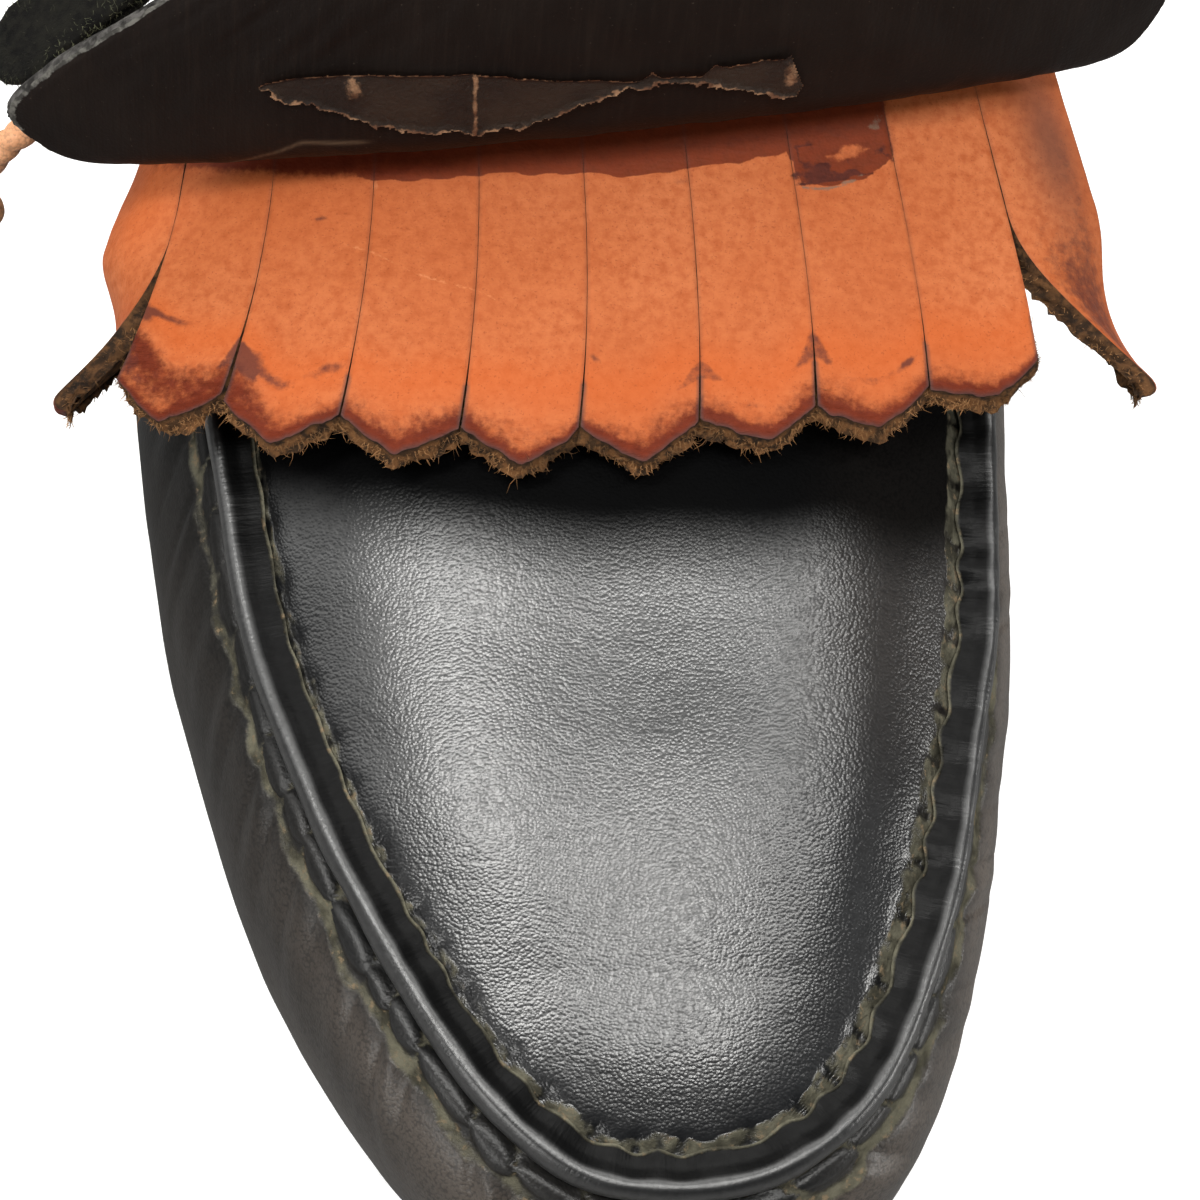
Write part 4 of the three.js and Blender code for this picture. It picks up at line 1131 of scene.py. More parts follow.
# %% Plug
plug_share = np.linspace(0, ((THROAT - SEAM_FROM_TOE) / (SEAM_END - SEAM_FROM_TOE)) ** (1 / 1.8), 300)
left_x, plug_d = seam_place(-plug_share - 1e-9)
right_x = seam_place(plug_share)[0]
CROWDED = math.pi / 2 * 0.86
u = np.sin(np.linspace(-1, 1, 270) * CROWDED) / math.sin(CROWDED)
plug_x = mix(left_x[:, None], right_x[:, None], (u[None, :] + 1) / 2)
plug_dd = np.broadcast_to(plug_d[:, None], plug_x.shape)
plug = on_vamp(plug_x, plug_dd)
tree_of_seam = KDTree(len(roll_line))
for k, p in enumerate(roll_line):
    tree_of_seam.insert(p, k)
tree_of_seam.balance()
flat_points = plug.reshape(-1, 3)
nearest = [tree_of_seam.find(p)[1:] for p in flat_points]
plug_near = np.array([roll_run[i] for i, _ in nearest]).reshape(plug_x.shape)
plug_gap = np.array([gap for _, gap in nearest]).reshape(plug_x.shape)
phase = stitch_phase(plug_near)
cell = np.abs(phase - np.floor(phase) - 0.5) * 2
side_pull = np.interp(plug_near, [-130, -40, 0, 40, 130], [0.5, 0.6, 0.8, 0.9, 1.0])
dimple = -0.5 * cell**2 * hill(plug_gap - 3.3, 1.4) * side_pull
trough = -0.4 * hill(plug_gap - 2.2, 1.8)
swell = 0.5 * smooth((plug_gap - 3) / 12)
swell = swell + hash_noise(plug_x / 13, plug_dd / 11, 6) * 0.16 * smooth((plug_gap - 2) / 6)
fine = hash_noise(plug_x / 2.3, plug_dd / 1.5, 7) * 0.01 + hash_noise(plug_x / 7.5, plug_dd / 5.5, 9) * 0.05
FLEX_CREASES = [
    # distance from the toe, depth, half width, slant
    (112, 0.5, 4.5, 0.06),
    (99, 0.3, 3.5, -0.05),
    (31, 0.08, 2.2, 0.1),
]
flex = sum(-deep * hill(plug_dd - at - slant * plug_x, width) for at, deep, width, slant in FLEX_CREASES)
flex = flex * smooth((plug_gap - 4) / 10)
plug_normal = vamp_normal(plug_x, plug_dd)
plug_shaped = plug + plug_normal * (dimple + trough + swell + fine + flex)[..., None]
band = np.interp(plug_near, [-130, -40, 0, 40, 130], [4.3, 4.4, 5.0, 5.7, 6.0])
plug_residue = smooth((band - plug_gap + 0.7 * hash_noise(plug_near / 2.6, plug_gap, 10)) / 1.5) * 0.95
plug_residue *= np.interp(plug_near, [-130, -90, -30, 0, 40, 130], [0.75, 0.7, 0.8, 0.9, 1, 1])
plug_residue *= 1 - 0.55 * smooth((cell - 0.72) / 0.2) * side_pull
plug_residue *= 0.75 + 0.35 * hash_noise(plug_near / 0.9, plug_gap / 0.7, 13)
# Painted shadow of the kiltie: a band in front of its hem, and the plug under it, painted near black and
# unpolished.
shadow_line = 72.5 + 0.0045 * plug_x**2 + 1.6 * hash_noise(plug_x / 9, plug_dd * 0, 12)
shelter = smooth((plug_dd - shadow_line) / 10.0) ** 0.8
write_piece(
    "plug",
    plug_shaped,
    grid(*plug_x.shape),
    PLUG_LEATHER,
    "black_leather",
    "upper",
    residue=plug_residue,
    brown=0.12 * smooth((plug_x - 20) / 12) * smooth((plug_dd - 45) / 30),
    shelter=shelter,
)

# %% Lining of the plug
plug_inside = (plug - plug_normal * WALL)[::6, ::6]
plug_lining_faces = grid(*plug_inside.shape[:2], flip=True)
write_piece("plug_lining", plug_inside, plug_lining_faces, LINING, "insole_leather", "upper")

# %% [markdown]
# The kiltie is one piece of tan leather, slit into ten strips with pointed ends. It springs up a little from
# the vamp, so its middle strips cast a shadow on the plug, and its end strips hang steeply down the sides.
# Leather doesn't stretch, so the drape is measured along the leather and only its slope is chosen.

# %% Drape of the kiltie
STRIPS, KILTIE_LEATHER, KILTIE_TOP, KILTIE_LENGTH = 10, 1.8, 132.0, 50.5
STRIP_TOP, STRIP_HEM, STRIP_POINT = 10.8, 12.9, 3.6
KILTIE_LIFT, HEM_SHORTER, INNER_SLOPE, EDGE_SLOPE = 5.0, 9.5, (0.65, 0.5), (1.1, 1.35)
MEDIAL_SLOPE, KILTIE_TURN, KILTIE_SWEEP, KILTIE_SWING = 0.55, (12.0, 5.5), 6.0, -6.5
HEM_PLAN_SHARE, ROLL_HEIGHT, DRAPE_STEPS = 0.9, 3.0, 16


def clear_height(x, d):
    over_welt = smooth((share_out(section(d), x) - 0.42) / 0.2)
    return vamp_height(x, d) + 2 * CLEARANCE + (ROLL_HEIGHT + 3 * CLEARANCE) * over_welt


def kiltie_point(strips, down, extra=0.0, raised=0.0):
    """A point of the kiltie: strips from its middle, share of the way down, and height over its underside."""
    strips, down, extra, raised = np.broadcast_arrays(strips, down, extra, raised)
    width = mix(STRIP_TOP, STRIP_HEM, down)
    inner = (STRIPS / 2 - 1) * width
    start, edge = (mix(a, b, down) for a, b in (INNER_SLOPE, EDGE_SLOPE))
    flatter = np.where(strips < 0, 1.0, MEDIAL_SLOPE)

    def turn(s):
        near = start * (np.minimum(s, inner) / inner) ** 1.5
        return np.where(s < inner, near, mix(start, edge, smooth((s - inner) / width))) * flatter

    across = np.abs(strips * width)
    x, drop = np.zeros(strips.shape), np.zeros(strips.shape)
    for k in range(DRAPE_STEPS):
        slope = turn(across * (k + 0.5) / DRAPE_STEPS)
        x = x + np.cos(slope) * across / DRAPE_STEPS
        drop = drop - np.sin(slope) * across / DRAPE_STEPS
    x = x * np.sign(strips)
    sideways = (strips / (STRIPS / 2)) ** 2
    forward = (KILTIE_LENGTH * down + extra) * HEM_PLAN_SHARE - (HEM_SHORTER * down + KILTIE_SWEEP) * sideways
    plan = np.radians(mix(KILTIE_TURN[0], KILTIE_TURN[1], down))
    tilt = turn(across) * np.sign(strips)

    def place(out):
        return (
            KILTIE_SWING + out * np.cos(plan) + forward * np.sin(plan),
            KILTIE_TOP + out * np.sin(plan) - forward * np.cos(plan),
        )

    under_x, under_d = place(x)
    hang = section(under_d).top + CLEARANCE + KILTIE_LIFT * np.maximum(down, 0) ** 1.5 + drop
    rise = np.maximum(hang, clear_height(under_x, under_d)) - hang
    px, pd = place(x + raised * np.sin(tilt))
    return np.stack([px, pd - HEEL_MIDDLE, hang + rise + raised * np.cos(tilt)], -1)


TIPS = [
    # strip, where its point lies across it, length of the point, how much longer or shorter the strip hangs
    (0, 0.5, 0.8, -0.2),
    (1, 0.42, 4.6, -0.6),
    (2, 0.4, 4.2, 0.1),
    (3, 0.45, 3.6, 0.4),
    (4, 0.52, 4.4, 0.2),
    (5, 0.5, 4.4, 0.0),
    (6, 0.6, 3.4, -0.3),
    (7, 0.55, 3.8, 0.2),
    (8, 0.6, 3.2, 0.3),
    (9, 0.5, 0.8, -2.2),
]
STRIP_COLUMNS, STRIP_ROWS, SLIT_SEEN, SLIT_TOP = 30, 120, 0.06, 0.26
strip_u = np.linspace(0, 1, STRIP_COLUMNS)
strip_v = np.linspace(0, 1, STRIP_ROWS) ** 0.9


def strip_grid(number, raised):
    """One strip's grid at a height over its underside, and its shares across and down."""
    tip_at, tip, longer = TIPS[number][1:]
    u, v = np.meshgrid(strip_u, strip_v)
    opening = 5 * smooth((v - 0.7) / 0.3) * (0.6 + 0.4 * math.sin(number * 2.2))
    opening = opening + smooth((v - SLIT_TOP) / 0.05)
    gap = SLIT_SEEN / 2 / STRIP_HEM * opening
    left_gap, right_gap = gap * (number > 0), gap * (number < STRIPS - 1)
    place = number + mix(left_gap, 1 - right_gap, u) - STRIPS / 2
    point = np.where(u < tip_at, u / tip_at, (1 - u) / (1 - tip_at))
    ragged = 0.25 * hash_noise(u * 9 + number * 13, v * 0 + 3, 31)
    ragged = ragged + 0.12 * hash_noise(u * 31 + number * 7, v * 0, 32)
    extra = (tip * point**0.85 - STRIP_POINT * 0.3 + longer + ragged) * v**3
    if number in (0, STRIPS - 1):
        return flare(number, place, v, extra, raised), u, v
    points = kiltie_point(place, v, extra, raised)
    curl = smooth((v - 0.8) / 0.2) * 0.9
    lift = 0.16 * (2 * u - 1) * (-1) ** number * smooth((v - 0.4) / 0.5)
    points[..., 2] += lift - curl * (0.6 + 0.4 * point)
    points[..., 2] += 0.2 * hash_noise(u * 2 + number * 5, v * 5, 33) * smooth((v - 0.3) / 0.4)
    return points, u, v


FLARES = {
    # strip: turning from, over, turned at the top,
    #        leaving from, over, power, outward, ahead from, over, ahead
    0: (0.46, 0.34, 0.45, 0.56, 0.46, 1.4, 5.8, 0.5, 0.5, 3.4),
    9: (0.62, 0.34, 0.0, 0.56, 0.44, 1.5, 12.5, 0.55, 0.38, 4.6),
}


def flare(number, place, v, extra, raised):
    """The two end strips leave at their slits, twist until they stand on edge, and swing outwards."""
    turn_from, turn_over, top_turn = FLARES[number][:3]
    from_v, over_v, power, outward, ahead_from, ahead_over, ahead = FLARES[number][3:]
    side = -1 if number == 0 else 1
    low = kiltie_point(place, v, extra, 0.0)
    up_way = unit(kiltie_point(place, v, extra, 1.0) - low)
    hinge = low[:, [-1 if number == 0 else 0]]
    from_hinge = (low - hinge) * (1 - 0.6 * smooth((v - 0.68) / 0.32))[..., None]
    reach = np.hypot(from_hinge[..., 0], from_hinge[..., 2])
    slope = mix(1.2, 1.5, smooth(v / 0.8))
    level_part, down_part = side * np.cos(slope), -np.sin(slope)
    hanging = np.stack([level_part * reach, from_hinge[..., 1], down_part * reach], -1)
    hang_up = np.stack([-side * down_part, np.zeros_like(slope), side * level_part], -1)
    turning = smooth((v - turn_from) / turn_over)
    turned = (turning + top_turn * (1 - smooth(v / 0.4)))[..., None]
    end_round = np.sqrt(1 - np.clip((v - 0.93) / 0.0705, 0, 1) ** 2)
    thickness = raised * ((1 + 0.5 * turning) * end_round)[..., None]
    away = side * outward * smooth((v - from_v) / over_v) ** power
    onward = -ahead * smooth((v - ahead_from) / ahead_over)
    shift = np.stack([away, onward, -1.5 * smooth((v - from_v) / over_v)], -1)
    return hinge + shift + mix(from_hinge, hanging, turned) + unit(mix(up_way, hang_up, turned)) * thickness


# %% Kiltie's faces and cut edges
face_points, face_quads, face_masks = [], [], []
raw_points, raw_quads, raw_burnt = [], [], []
hem_lines = []
EDGE_STEPS = 8


def perimeter(grid_points):
    """The strip's edge, down one side, along the hem and up the other."""
    return np.vstack([grid_points[:, 0], grid_points[-1, 1:-1], grid_points[::-1, -1]])


STAINS = [
    # across in strips from the left edge, share down, half width, half length, strength
    (1.25, 0.722, 0.26, 0.014, 0.95),
    (1.03, 0.74, 0.1, 0.04, 0.9),
    (2.12, 0.83, 0.12, 0.03, 1.0),
    (2.32, 0.86, 0.2, 0.018, 0.9),
    (2.82, 0.85, 0.2, 0.02, 0.85),
    (2.52, 0.408, 0.1, 0.009, 0.9),
    (5.07, 0.81, 0.05, 0.012, 0.9),
    (5.93, 0.375, 0.1, 0.012, 0.7),
    (7.5, 0.905, 0.3, 0.012, 0.6),
    (7.83, 0.9, 0.09, 0.012, 1.0),
    (6.45, 0.93, 0.3, 0.01, 0.5),
    (9.45, 0.8, 0.5, 0.16, 0.9),
    (9.75, 0.5, 0.14, 0.2, 0.45),
    (0.5, 0.62, 0.5, 0.06, 0.35),
]
SLIT_STAINS = [
    # slit, share down at the top and at the foot of the stain, half width in strips, strength
    (1.02, 0.83, 0.97, 0.22, 0.6),
    (2.03, 0.79, 0.9, 0.2, 0.9),
    (6.0, 0.835, 0.895, 0.26, 0.7),
    (7.0, 0.795, 0.885, 0.2, 0.8),
]
TORN_PATCHES = [
    # across in strips from the left edge, share down, half width, half length, strength
    (7.25, 0.405, 0.24, 0.026, 1.0),
    (7.6, 0.425, 0.22, 0.012, 0.8),
    (7.1, 0.35, 0.08, 0.03, 0.8),
    (7.93, 0.39, 0.06, 0.035, 0.7),
]
BAND_AT = [0.4, 1.2, 2.2, 3.1, 4.1, 5.1, 5.5, 6.5, 6.98, 7.05, 7.4, 7.7, 8.0, 9.0]
BAND_FOOT = [0.19, 0.24, 0.285, 0.315, 0.312, 0.335, 0.35, 0.345, 0.345, 0.42, 0.44, 0.43, 0.4, 0.2]
BURNISH_AT = [0.8, 1.2, 2.0, 3.0, 5.0, 6.0, 9.0]
BURNISH_FROM = [0.755, 0.785, 0.87, 0.905, 0.905, 0.91, 0.93]


def patch(across, v, at, down, half_width, half_length, power=2):
    return hill(across - at, half_width, power) * hill(v - down, half_length, power)


def kiltie_masks(number, u, v):
    """What the tan calf's finish reads: the places of its stains, burns, tears and creases, and of painted
    shade, highlight and sheen.
    """
    across = number + u
    stain = sum(s * patch(across, v, a, d, w, h) for a, d, w, h, s in STAINS)
    for slit, head, tail, half, s in SLIT_STAINS:
        share = (v - head) / (tail - head)
        inside = smooth((share * half - np.abs(across - slit)) / 0.08 + 0.5)
        stain = stain + s * inside * smooth(share * 5) * (1 - smooth((share - 0.8) / 0.3))
    line = np.interp(across, BURNISH_AT, BURNISH_FROM)
    line = line + 0.015 * np.sin(across * 5.1) + 0.02 * hash_noise(across * 3, v * 0, 41)
    burnish_and_shade = smooth((v - line + 0.03) / 0.13) * (0.8 + 0.3 * hash_noise(across * 2.3, v * 6, 42))
    hem = smooth((v - 0.96) / 0.04) * 0.5
    band_line = np.interp(across, BAND_AT, BAND_FOOT) + 0.006 * hash_noise(across * 6, v * 0, 44)
    band = smooth((band_line - v) / 0.012 + 0.5)
    band = band * smooth((across - 2.6) / 0.5) * smooth((8.03 - across) / 0.05)
    bare_at = across + 0.1 * hash_noise(across * 9, v * 60, 48)
    band = band * (1 - 0.8 * patch(bare_at, v, 7.55, 0.365, 0.2, 0.022))
    # Painted shadow of the flap, soft, across the tops of the strips; it joins the burnish mask.
    shade = smooth((band_line - v) / 0.06 + 0.35)
    shade = shade * np.interp(across, [0, 0.6, 1.5, 3, 4, 8, 8.2], [0.2, 0.5, 1, 1, 0.4, 0.4, 0])
    wavy_across = across + 0.12 * hash_noise(across * 9, v * 55, 46)
    wavy_v = v + 0.014 * hash_noise(across * 7, v * 60, 47)
    torn = sum(s * patch(wavy_across, wavy_v, a, d, w, h, 4) for a, d, w, h, s in TORN_PATCHES)
    fray_at = across - 0.1 * hash_noise(v * 60, v * 0, 45)
    fray = 0.8 * patch(fray_at, v, 7.9, 0.31, 0.1, 0.03)
    torn_foot = hill(v - 0.445 + 0.05 * np.abs(across - 7.3), 0.007)
    fray = fray + 0.9 * torn_foot * smooth((across - 7.03) / 0.05) * smooth((7.75 - across) / 0.1)
    warm = 0.9 * hill(v - line + 0.05, 0.07)
    warm = warm + 0.6 * smooth((1.2 - across) / 0.8) * smooth((0.6 - v) / 0.3)
    scratch = hill(v - 0.524 - 0.11 * (across - 3.1), 0.008)
    pale = 0.8 * scratch * smooth((across - 2.3) / 0.6) * smooth((4.4 - across) / 0.3)
    pale = pale + 0.9 * patch(across, v, 3.02, 0.325, 0.05, 0.02)
    # Painted shade beside the slits, and a painted sheen over the last strip.
    beside_slit = smooth((np.minimum(u, 1 - u) * STRIP_HEM - 0.1) / 0.25)
    slit_shade = 0.3 * (1 - beside_slit) * smooth((0.92 - v) / 0.05)
    painted_sheen = 0.9 * patch(across, v, 9.65, 0.45, 0.33, 0.24)
    creased = np.interp(across, [0.8, 1, 2, 2.2, 4, 10], [1, 1, 1, 0.5, 0.6, 0.7])
    edge = np.minimum(np.minimum(u, 1 - u) * STRIP_HEM + 3 * smooth((0.9 - v) / 0.1), (1 - v) * KILTIE_LENGTH)
    return {
        "stain": stain,
        # Burnish at the hem, plus the flap's painted shadow.
        "burnish_and_shade": burnish_and_shade + hem + shade,
        "band": band,
        "torn": torn,
        "fray": fray,
        "warm": np.clip(warm, 0, 1),
        "pale": pale,
        # Grey tone: a painted highlight line along the edges, with the painted shade and sheen above.
        "rim": 1 - smooth((edge - 0.15) / 0.35) + slit_shade + painted_sheen,
        "crinkle": smooth((v - line) / 0.08) * creased + 0.1,
    }


for number in range(STRIPS):
    end_strip = number in (0, STRIPS - 1)
    top_face, u, v = strip_grid(number, KILTIE_LEATHER)
    low_face = strip_grid(number, 0.0)[0]
    rounding = np.minimum(np.minimum(u, 1 - u) * STRIP_HEM, (1 - v) * KILTIE_LENGTH)
    sunk = 0.14 * (1 - smooth(rounding / 0.4)) * smooth((v - SLIT_TOP) / 0.1)
    surface_normal = unit(top_face - low_face)
    top_face = top_face - surface_normal * sunk[..., None]
    start = sum(len(p) for p in face_points)
    face_points.append(top_face.reshape(-1, 3))
    face_quads.append(grid(STRIP_ROWS, STRIP_COLUMNS, start))
    face_masks.append(kiltie_masks(number, u, v))
    edge_top, edge_low = perimeter(top_face), perimeter(low_face)
    along = np.gradient(edge_top, axis=0)
    outward = unit(np.cross(along, edge_top - edge_low))
    centre = top_face.mean((0, 1))
    outward *= np.sign(np.sum(outward * (edge_top - centre), -1, keepdims=True))
    down_share = perimeter(np.repeat(v[..., None], 3, -1))[:, 0]
    fray_from, fray_over = (0.44, 0.2) if end_strip else (0.86, 0.13)
    fray = smooth((down_share - fray_from) / fray_over)
    run = np.cumsum(np.linalg.norm(along, axis=1))
    tufted = hash_noise(run / 3.5, np.full_like(run, number * 3.0), 53)
    rings = []
    for k in range(EDGE_STEPS):
        t = k / (EDGE_STEPS - 1)
        rough = hash_noise(run / 0.42, np.full_like(run, k * 1.3 + number * 9), 51) * 0.22
        rough = rough + hash_noise(run / 1.3, np.full_like(run, k * 0.6 + number * 5), 52) * 0.3 * t
        rough = rough * (2.4 if end_strip else 1)
        push = (0.01 + (0.75 + 0.3 * tufted) * t**1.5 * fray + 1.4 * rough * t * fray) * (k > 0)
        low = 0.45 * t * fray
        base = mix(edge_top, edge_low, t)
        rings.append(base + outward * push[:, None] - unit(edge_top - edge_low) * low[:, None])
    start = sum(len(p) for p in raw_points)
    raw_points.append(np.array(rings).reshape(-1, 3))
    depths = np.broadcast_to(np.linspace(0, 1, EDGE_STEPS)[:, None], (EDGE_STEPS, len(run)))
    dark = 0.45 + 0.3 * hash_noise(run / 2.2 + number, depths[:, :1] * 3, 54) if end_strip else 0
    skin = np.clip(1 - depths / 0.35, 0, 1) * (0.3 + 0.5 * smooth((down_share - 0.75) / 0.2))
    raw_burnt.append(np.maximum(skin, dark).ravel())
    raw_quads.append(grid(EDGE_STEPS, len(run), start, flip=True))
    hem_lines.append((rings[-1], rings[2], outward, fray))
    under = low_face[::3, ::3]
    start = sum(len(p) for p in raw_points)
    raw_points.append(under.reshape(-1, 3))
    raw_burnt.append(np.zeros(len(raw_points[-1])))
    raw_quads.append(grid(*under.shape[:2], start, flip=True))

masks = {key: np.concatenate([m[key].ravel() for m in face_masks]) for key in face_masks[0]}
face_points, face_quads = np.vstack(face_points), np.vstack(face_quads)
write_piece("kiltie_face", face_points, face_quads, TAN, "tan_leather", "kiltie", **masks)
raw_points, raw_quads, singed = np.vstack(raw_points), np.vstack(raw_quads), np.concatenate(raw_burnt)
write_piece("kiltie_cut_edge", raw_points, raw_quads, RAW_TAN, "tan_leather", "kiltie", burnt=singed)

# %% [markdown]
# Raw leather frays. Loose fibres stick out along the hem and at the ends of the slits: each is a thin bent
# splinter of three short lengths.

# %% Loose fibres
FIBRE_BEND = 0.6


def write_fibres(name, roots, directions, lengths, width, material, slot, node, seed):
    own = np.random.default_rng(seed)
    count = len(roots)
    side = unit(np.cross(directions, own.normal(size=(count, 3))))
    other = unit(np.cross(directions, side))
    points = []
    sway = side * own.normal(size=(count, 1)) + other * own.normal(size=(count, 1))
    for step, size in ((0, 1.0), (0.5, 0.8), (1.0, 0.25)):
        centre = roots + directions * (lengths * step)[:, None]
        centre = centre + sway * (lengths * FIBRE_BEND * step**2)[:, None]
        for angle in (0, 2 * math.pi / 3, 4 * math.pi / 3):
            ring = side * math.cos(angle) + other * math.sin(angle)
            points.append(centre + ring * (width * size)[:, None] / 2)
    points = np.stack(points, 1).reshape(-1, 3)
    faces = (np.arange(count)[:, None, None] * 9 + grid(3, 3, closed=True)[None]).reshape(-1, 4)
    return write_piece(name, points, faces, material, slot, node)


fibre_roots, fibre_ways, fibre_lengths = [], [], []
FIBRE_COUNT = 420
for low_ring, mid_ring, outward, fray in hem_lines:
    take = rng.choice(len(low_ring), FIBRE_COUNT, p=fray / fray.sum())
    mixing = rng.uniform(0, 1, (FIBRE_COUNT, 1))
    fibre_roots.append(mix(low_ring[take], mid_ring[take], mixing))
    fibre_ways.append(unit(outward[take] + rng.normal(0, 0.6, (FIBRE_COUNT, 3))))
    fibre_lengths.append(rng.gamma(1.5, 0.2, FIBRE_COUNT) + 0.15)
fibre_lengths = np.minimum(np.concatenate(fibre_lengths), 1.6)
write_fibres(
    "kiltie_fibres",
    np.vstack(fibre_roots),
    np.vstack(fibre_ways),
    fibre_lengths,
    rng.uniform(0.05, 0.13, len(fibre_lengths)),
    FIBRES,
    "tan_leather",
    "kiltie",
    seed=3,
)

# %% [markdown]
# Above the kiltie a black flap folds forwards and up. It is sewn under its lower edge, bends in a tight roll
# that hides the stitching, and stands up against the throat with its rough side out.

# %% Flap
FLAP_LEATHER, FLAP_HALF, FLAP_SEAT, FLAP_BEND, FLAP_RISE = 2.0, 60.0, 8.0, 12.0, 32.0
FLAP_LENGTH = FLAP_SEAT + FLAP_BEND + FLAP_RISE
FLAP_DROP, FLAP_SWEEP, FLAP_SEAT_BACK, FLAP_LIFT = 10.0, 8.0, 0.6, 2.0
INSTEP_SLOPE, FLAP_TURN, FLAP_STEP = 0.27, math.radians(10), 0.05
FLAP_OUTLINE = [
    # share of the length, lateral, medial
    (0.0, 0.6, 0.62),
    (0.15, 0.7, 0.78),
    (0.27, 0.82, 0.93),
    (0.4, 0.98, 1.06),
    (0.5, 1.04, 1.1),
    (0.6, 0.96, 1.11),
    (0.7, 0.82, 1.1),
    (0.85, 0.6, 0.98),
    (1.0, 0.36, 0.52),
]
FLAP_BENDS = [
    # length, degrees that it bends through
    (FLAP_SEAT, 0),
    (FLAP_BEND, 118),
    (FLAP_RISE * 0.45, 12),
    (FLAP_RISE * 0.55, 34),
]


def summed(steps):
    return np.concatenate([[0], np.cumsum(steps)])


side_run = np.arange(0, FLAP_LENGTH + 0.01, FLAP_STEP)
bends = [np.full(round(run / FLAP_STEP), math.radians(turn) / run) for run, turn in FLAP_BENDS]
softener = np.hanning(41) / np.hanning(41).sum()
rate = np.convolve(np.pad(np.concatenate(bends), 20, mode="edge"), softener, "valid")
side_angle = math.pi + INSTEP_SLOPE - summed(rate * FLAP_STEP)[: len(side_run)]
side_forward = summed(np.cos(side_angle[:-1]) * FLAP_STEP)
side_up = summed(np.sin(side_angle[:-1]) * FLAP_STEP)


def flap_point(across_share, length, depth=0.0):
    """A point of the flap: share of its half width, length from its sewn edge, depth into the leather."""
    across_share, length, depth = np.broadcast_arrays(across_share, length, depth)
    lateral, medial = table(FLAP_OUTLINE, length / FLAP_LENGTH)
    across = across_share * FLAP_HALF * np.where(across_share < 0, lateral, medial)
    share = np.abs(across) / FLAP_HALF
    past = np.maximum(length - FLAP_SEAT - FLAP_BEND, 0)
    flatter = mix(1, 0.55, smooth(past / FLAP_RISE))
    angle = np.interp(length, side_run, side_angle)
    back_by = np.interp(length, side_run, side_forward) + FLAP_SEAT_BACK + FLAP_SWEEP * share**2
    back_by = back_by + np.sin(angle) * depth
    base = section(KILTIE_TOP + across * math.sin(FLAP_TURN)).top + KILTIE_LEATHER + FLAP_LIFT
    z = base + np.interp(length, side_run, side_up) - np.cos(angle) * depth - FLAP_DROP * flatter * share**2
    x = KILTIE_SWING + across * math.cos(FLAP_TURN) - back_by * math.sin(FLAP_TURN)
    y = KILTIE_TOP - HEEL_MIDDLE + across * math.sin(FLAP_TURN) + back_by * math.cos(FLAP_TURN)
    return np.stack([x, y, z], -1)


flap_u, flap_v = np.meshgrid(np.linspace(-1, 1, 210), np.linspace(0, 1, 150))
wobble = 0.25 * hash_noise(flap_u * 7, flap_v * 5, 61) + 0.1 * hash_noise(flap_u * 25, flap_v * 14, 62)
near_edge = smooth(np.minimum(1 - np.abs(flap_u), 1 - flap_v) / 0.03)
thinned = 0.3 * (1 - near_edge)
front_depth = -wobble * near_edge * smooth(flap_v * 5) + thinned
front = flap_point(flap_u, flap_v * FLAP_LENGTH, front_depth)
rear = flap_point(flap_u, flap_v * FLAP_LENGTH, FLAP_LEATHER - thinned)
flap_lateral, flap_medial = table(FLAP_OUTLINE, flap_v)
flap_a = flap_u * FLAP_HALF * np.where(flap_u < 0, flap_lateral, flap_medial)
scuff_at = np.interp(flap_a, [-43, -37, -31, -24], [12.5, 17.0, 20.3, 19.6])
scuff = hill(flap_v * FLAP_LENGTH - scuff_at, 0.3)
scuff = scuff * smooth((flap_a + 43) / 3) * smooth((-23 - flap_a) / 2)
side_gap = (1 + flap_u) * np.abs(FLAP_HALF * flap_lateral)
end_gap = (1 - flap_v) * FLAP_LENGTH * 0.8 + 4 * smooth((flap_a + 30) / 10)
rim_gap = np.minimum(side_gap, end_gap)
skived = (1 - smooth((rim_gap - 0.35) / 0.5)) * smooth((flap_v - 0.44) / 0.03)
fuzzed = skived * hash_noise(flap_a / 0.5, flap_v * 80, 68)
front = front + np.array([0.25, -0.3, 0.2]) * fuzzed[..., None]
flap_faces = grid(*flap_u.shape)
write_piece("flap_face", front, flap_faces, FLAP, "flap_leather", "flap", raw=0.6 * scuff, skived=skived)
back_rows = rear[::2, ::2]
back_faces = grid(*back_rows.shape[:2], flip=True)
write_piece("flap_back", back_rows, back_faces, FLAP, "flap_leather", "flap")


def flap_rim(points):
    return np.vstack([points[::-1, 0], points[0, 1:-1], points[:, -1], points[-1, ::-1]])


FLAP_EDGE_RINGS = 6
edge_front, edge_rear = flap_rim(front), flap_rim(rear)
edge_way = unit(edge_front - np.array([KILTIE_SWING, -120, 90]))
edge_rings = []
for k in range(FLAP_EDGE_RINGS):
    t = k / (FLAP_EDGE_RINGS - 1)
    fuzz = hash_noise(np.arange(len(edge_front)) / 1.1, np.full(len(edge_front), k * 1.7), 63)
    push = math.sin(math.pi * t) * (0.3 + 0.28 * fuzz)
    edge_rings.append(mix(edge_front, edge_rear, t) + edge_way * push[:, None])
edge_faces = grid(FLAP_EDGE_RINGS, len(edge_front))
write_piece("flap_cut_edge", np.array(edge_rings), edge_faces, RAW_GREY, "flap_leather", "flap")
print("flap ends at height", round(float(front[..., 2].max())), "mm")

# %% [markdown]
# Something was once stuck to the flap and was torn off. It left a thin layer with a crusty, curled rim, in
# two joined patches. The layer is cut out of a fine grid that lies on the flap, between an upper and a
# lower line, and its rim is raised.

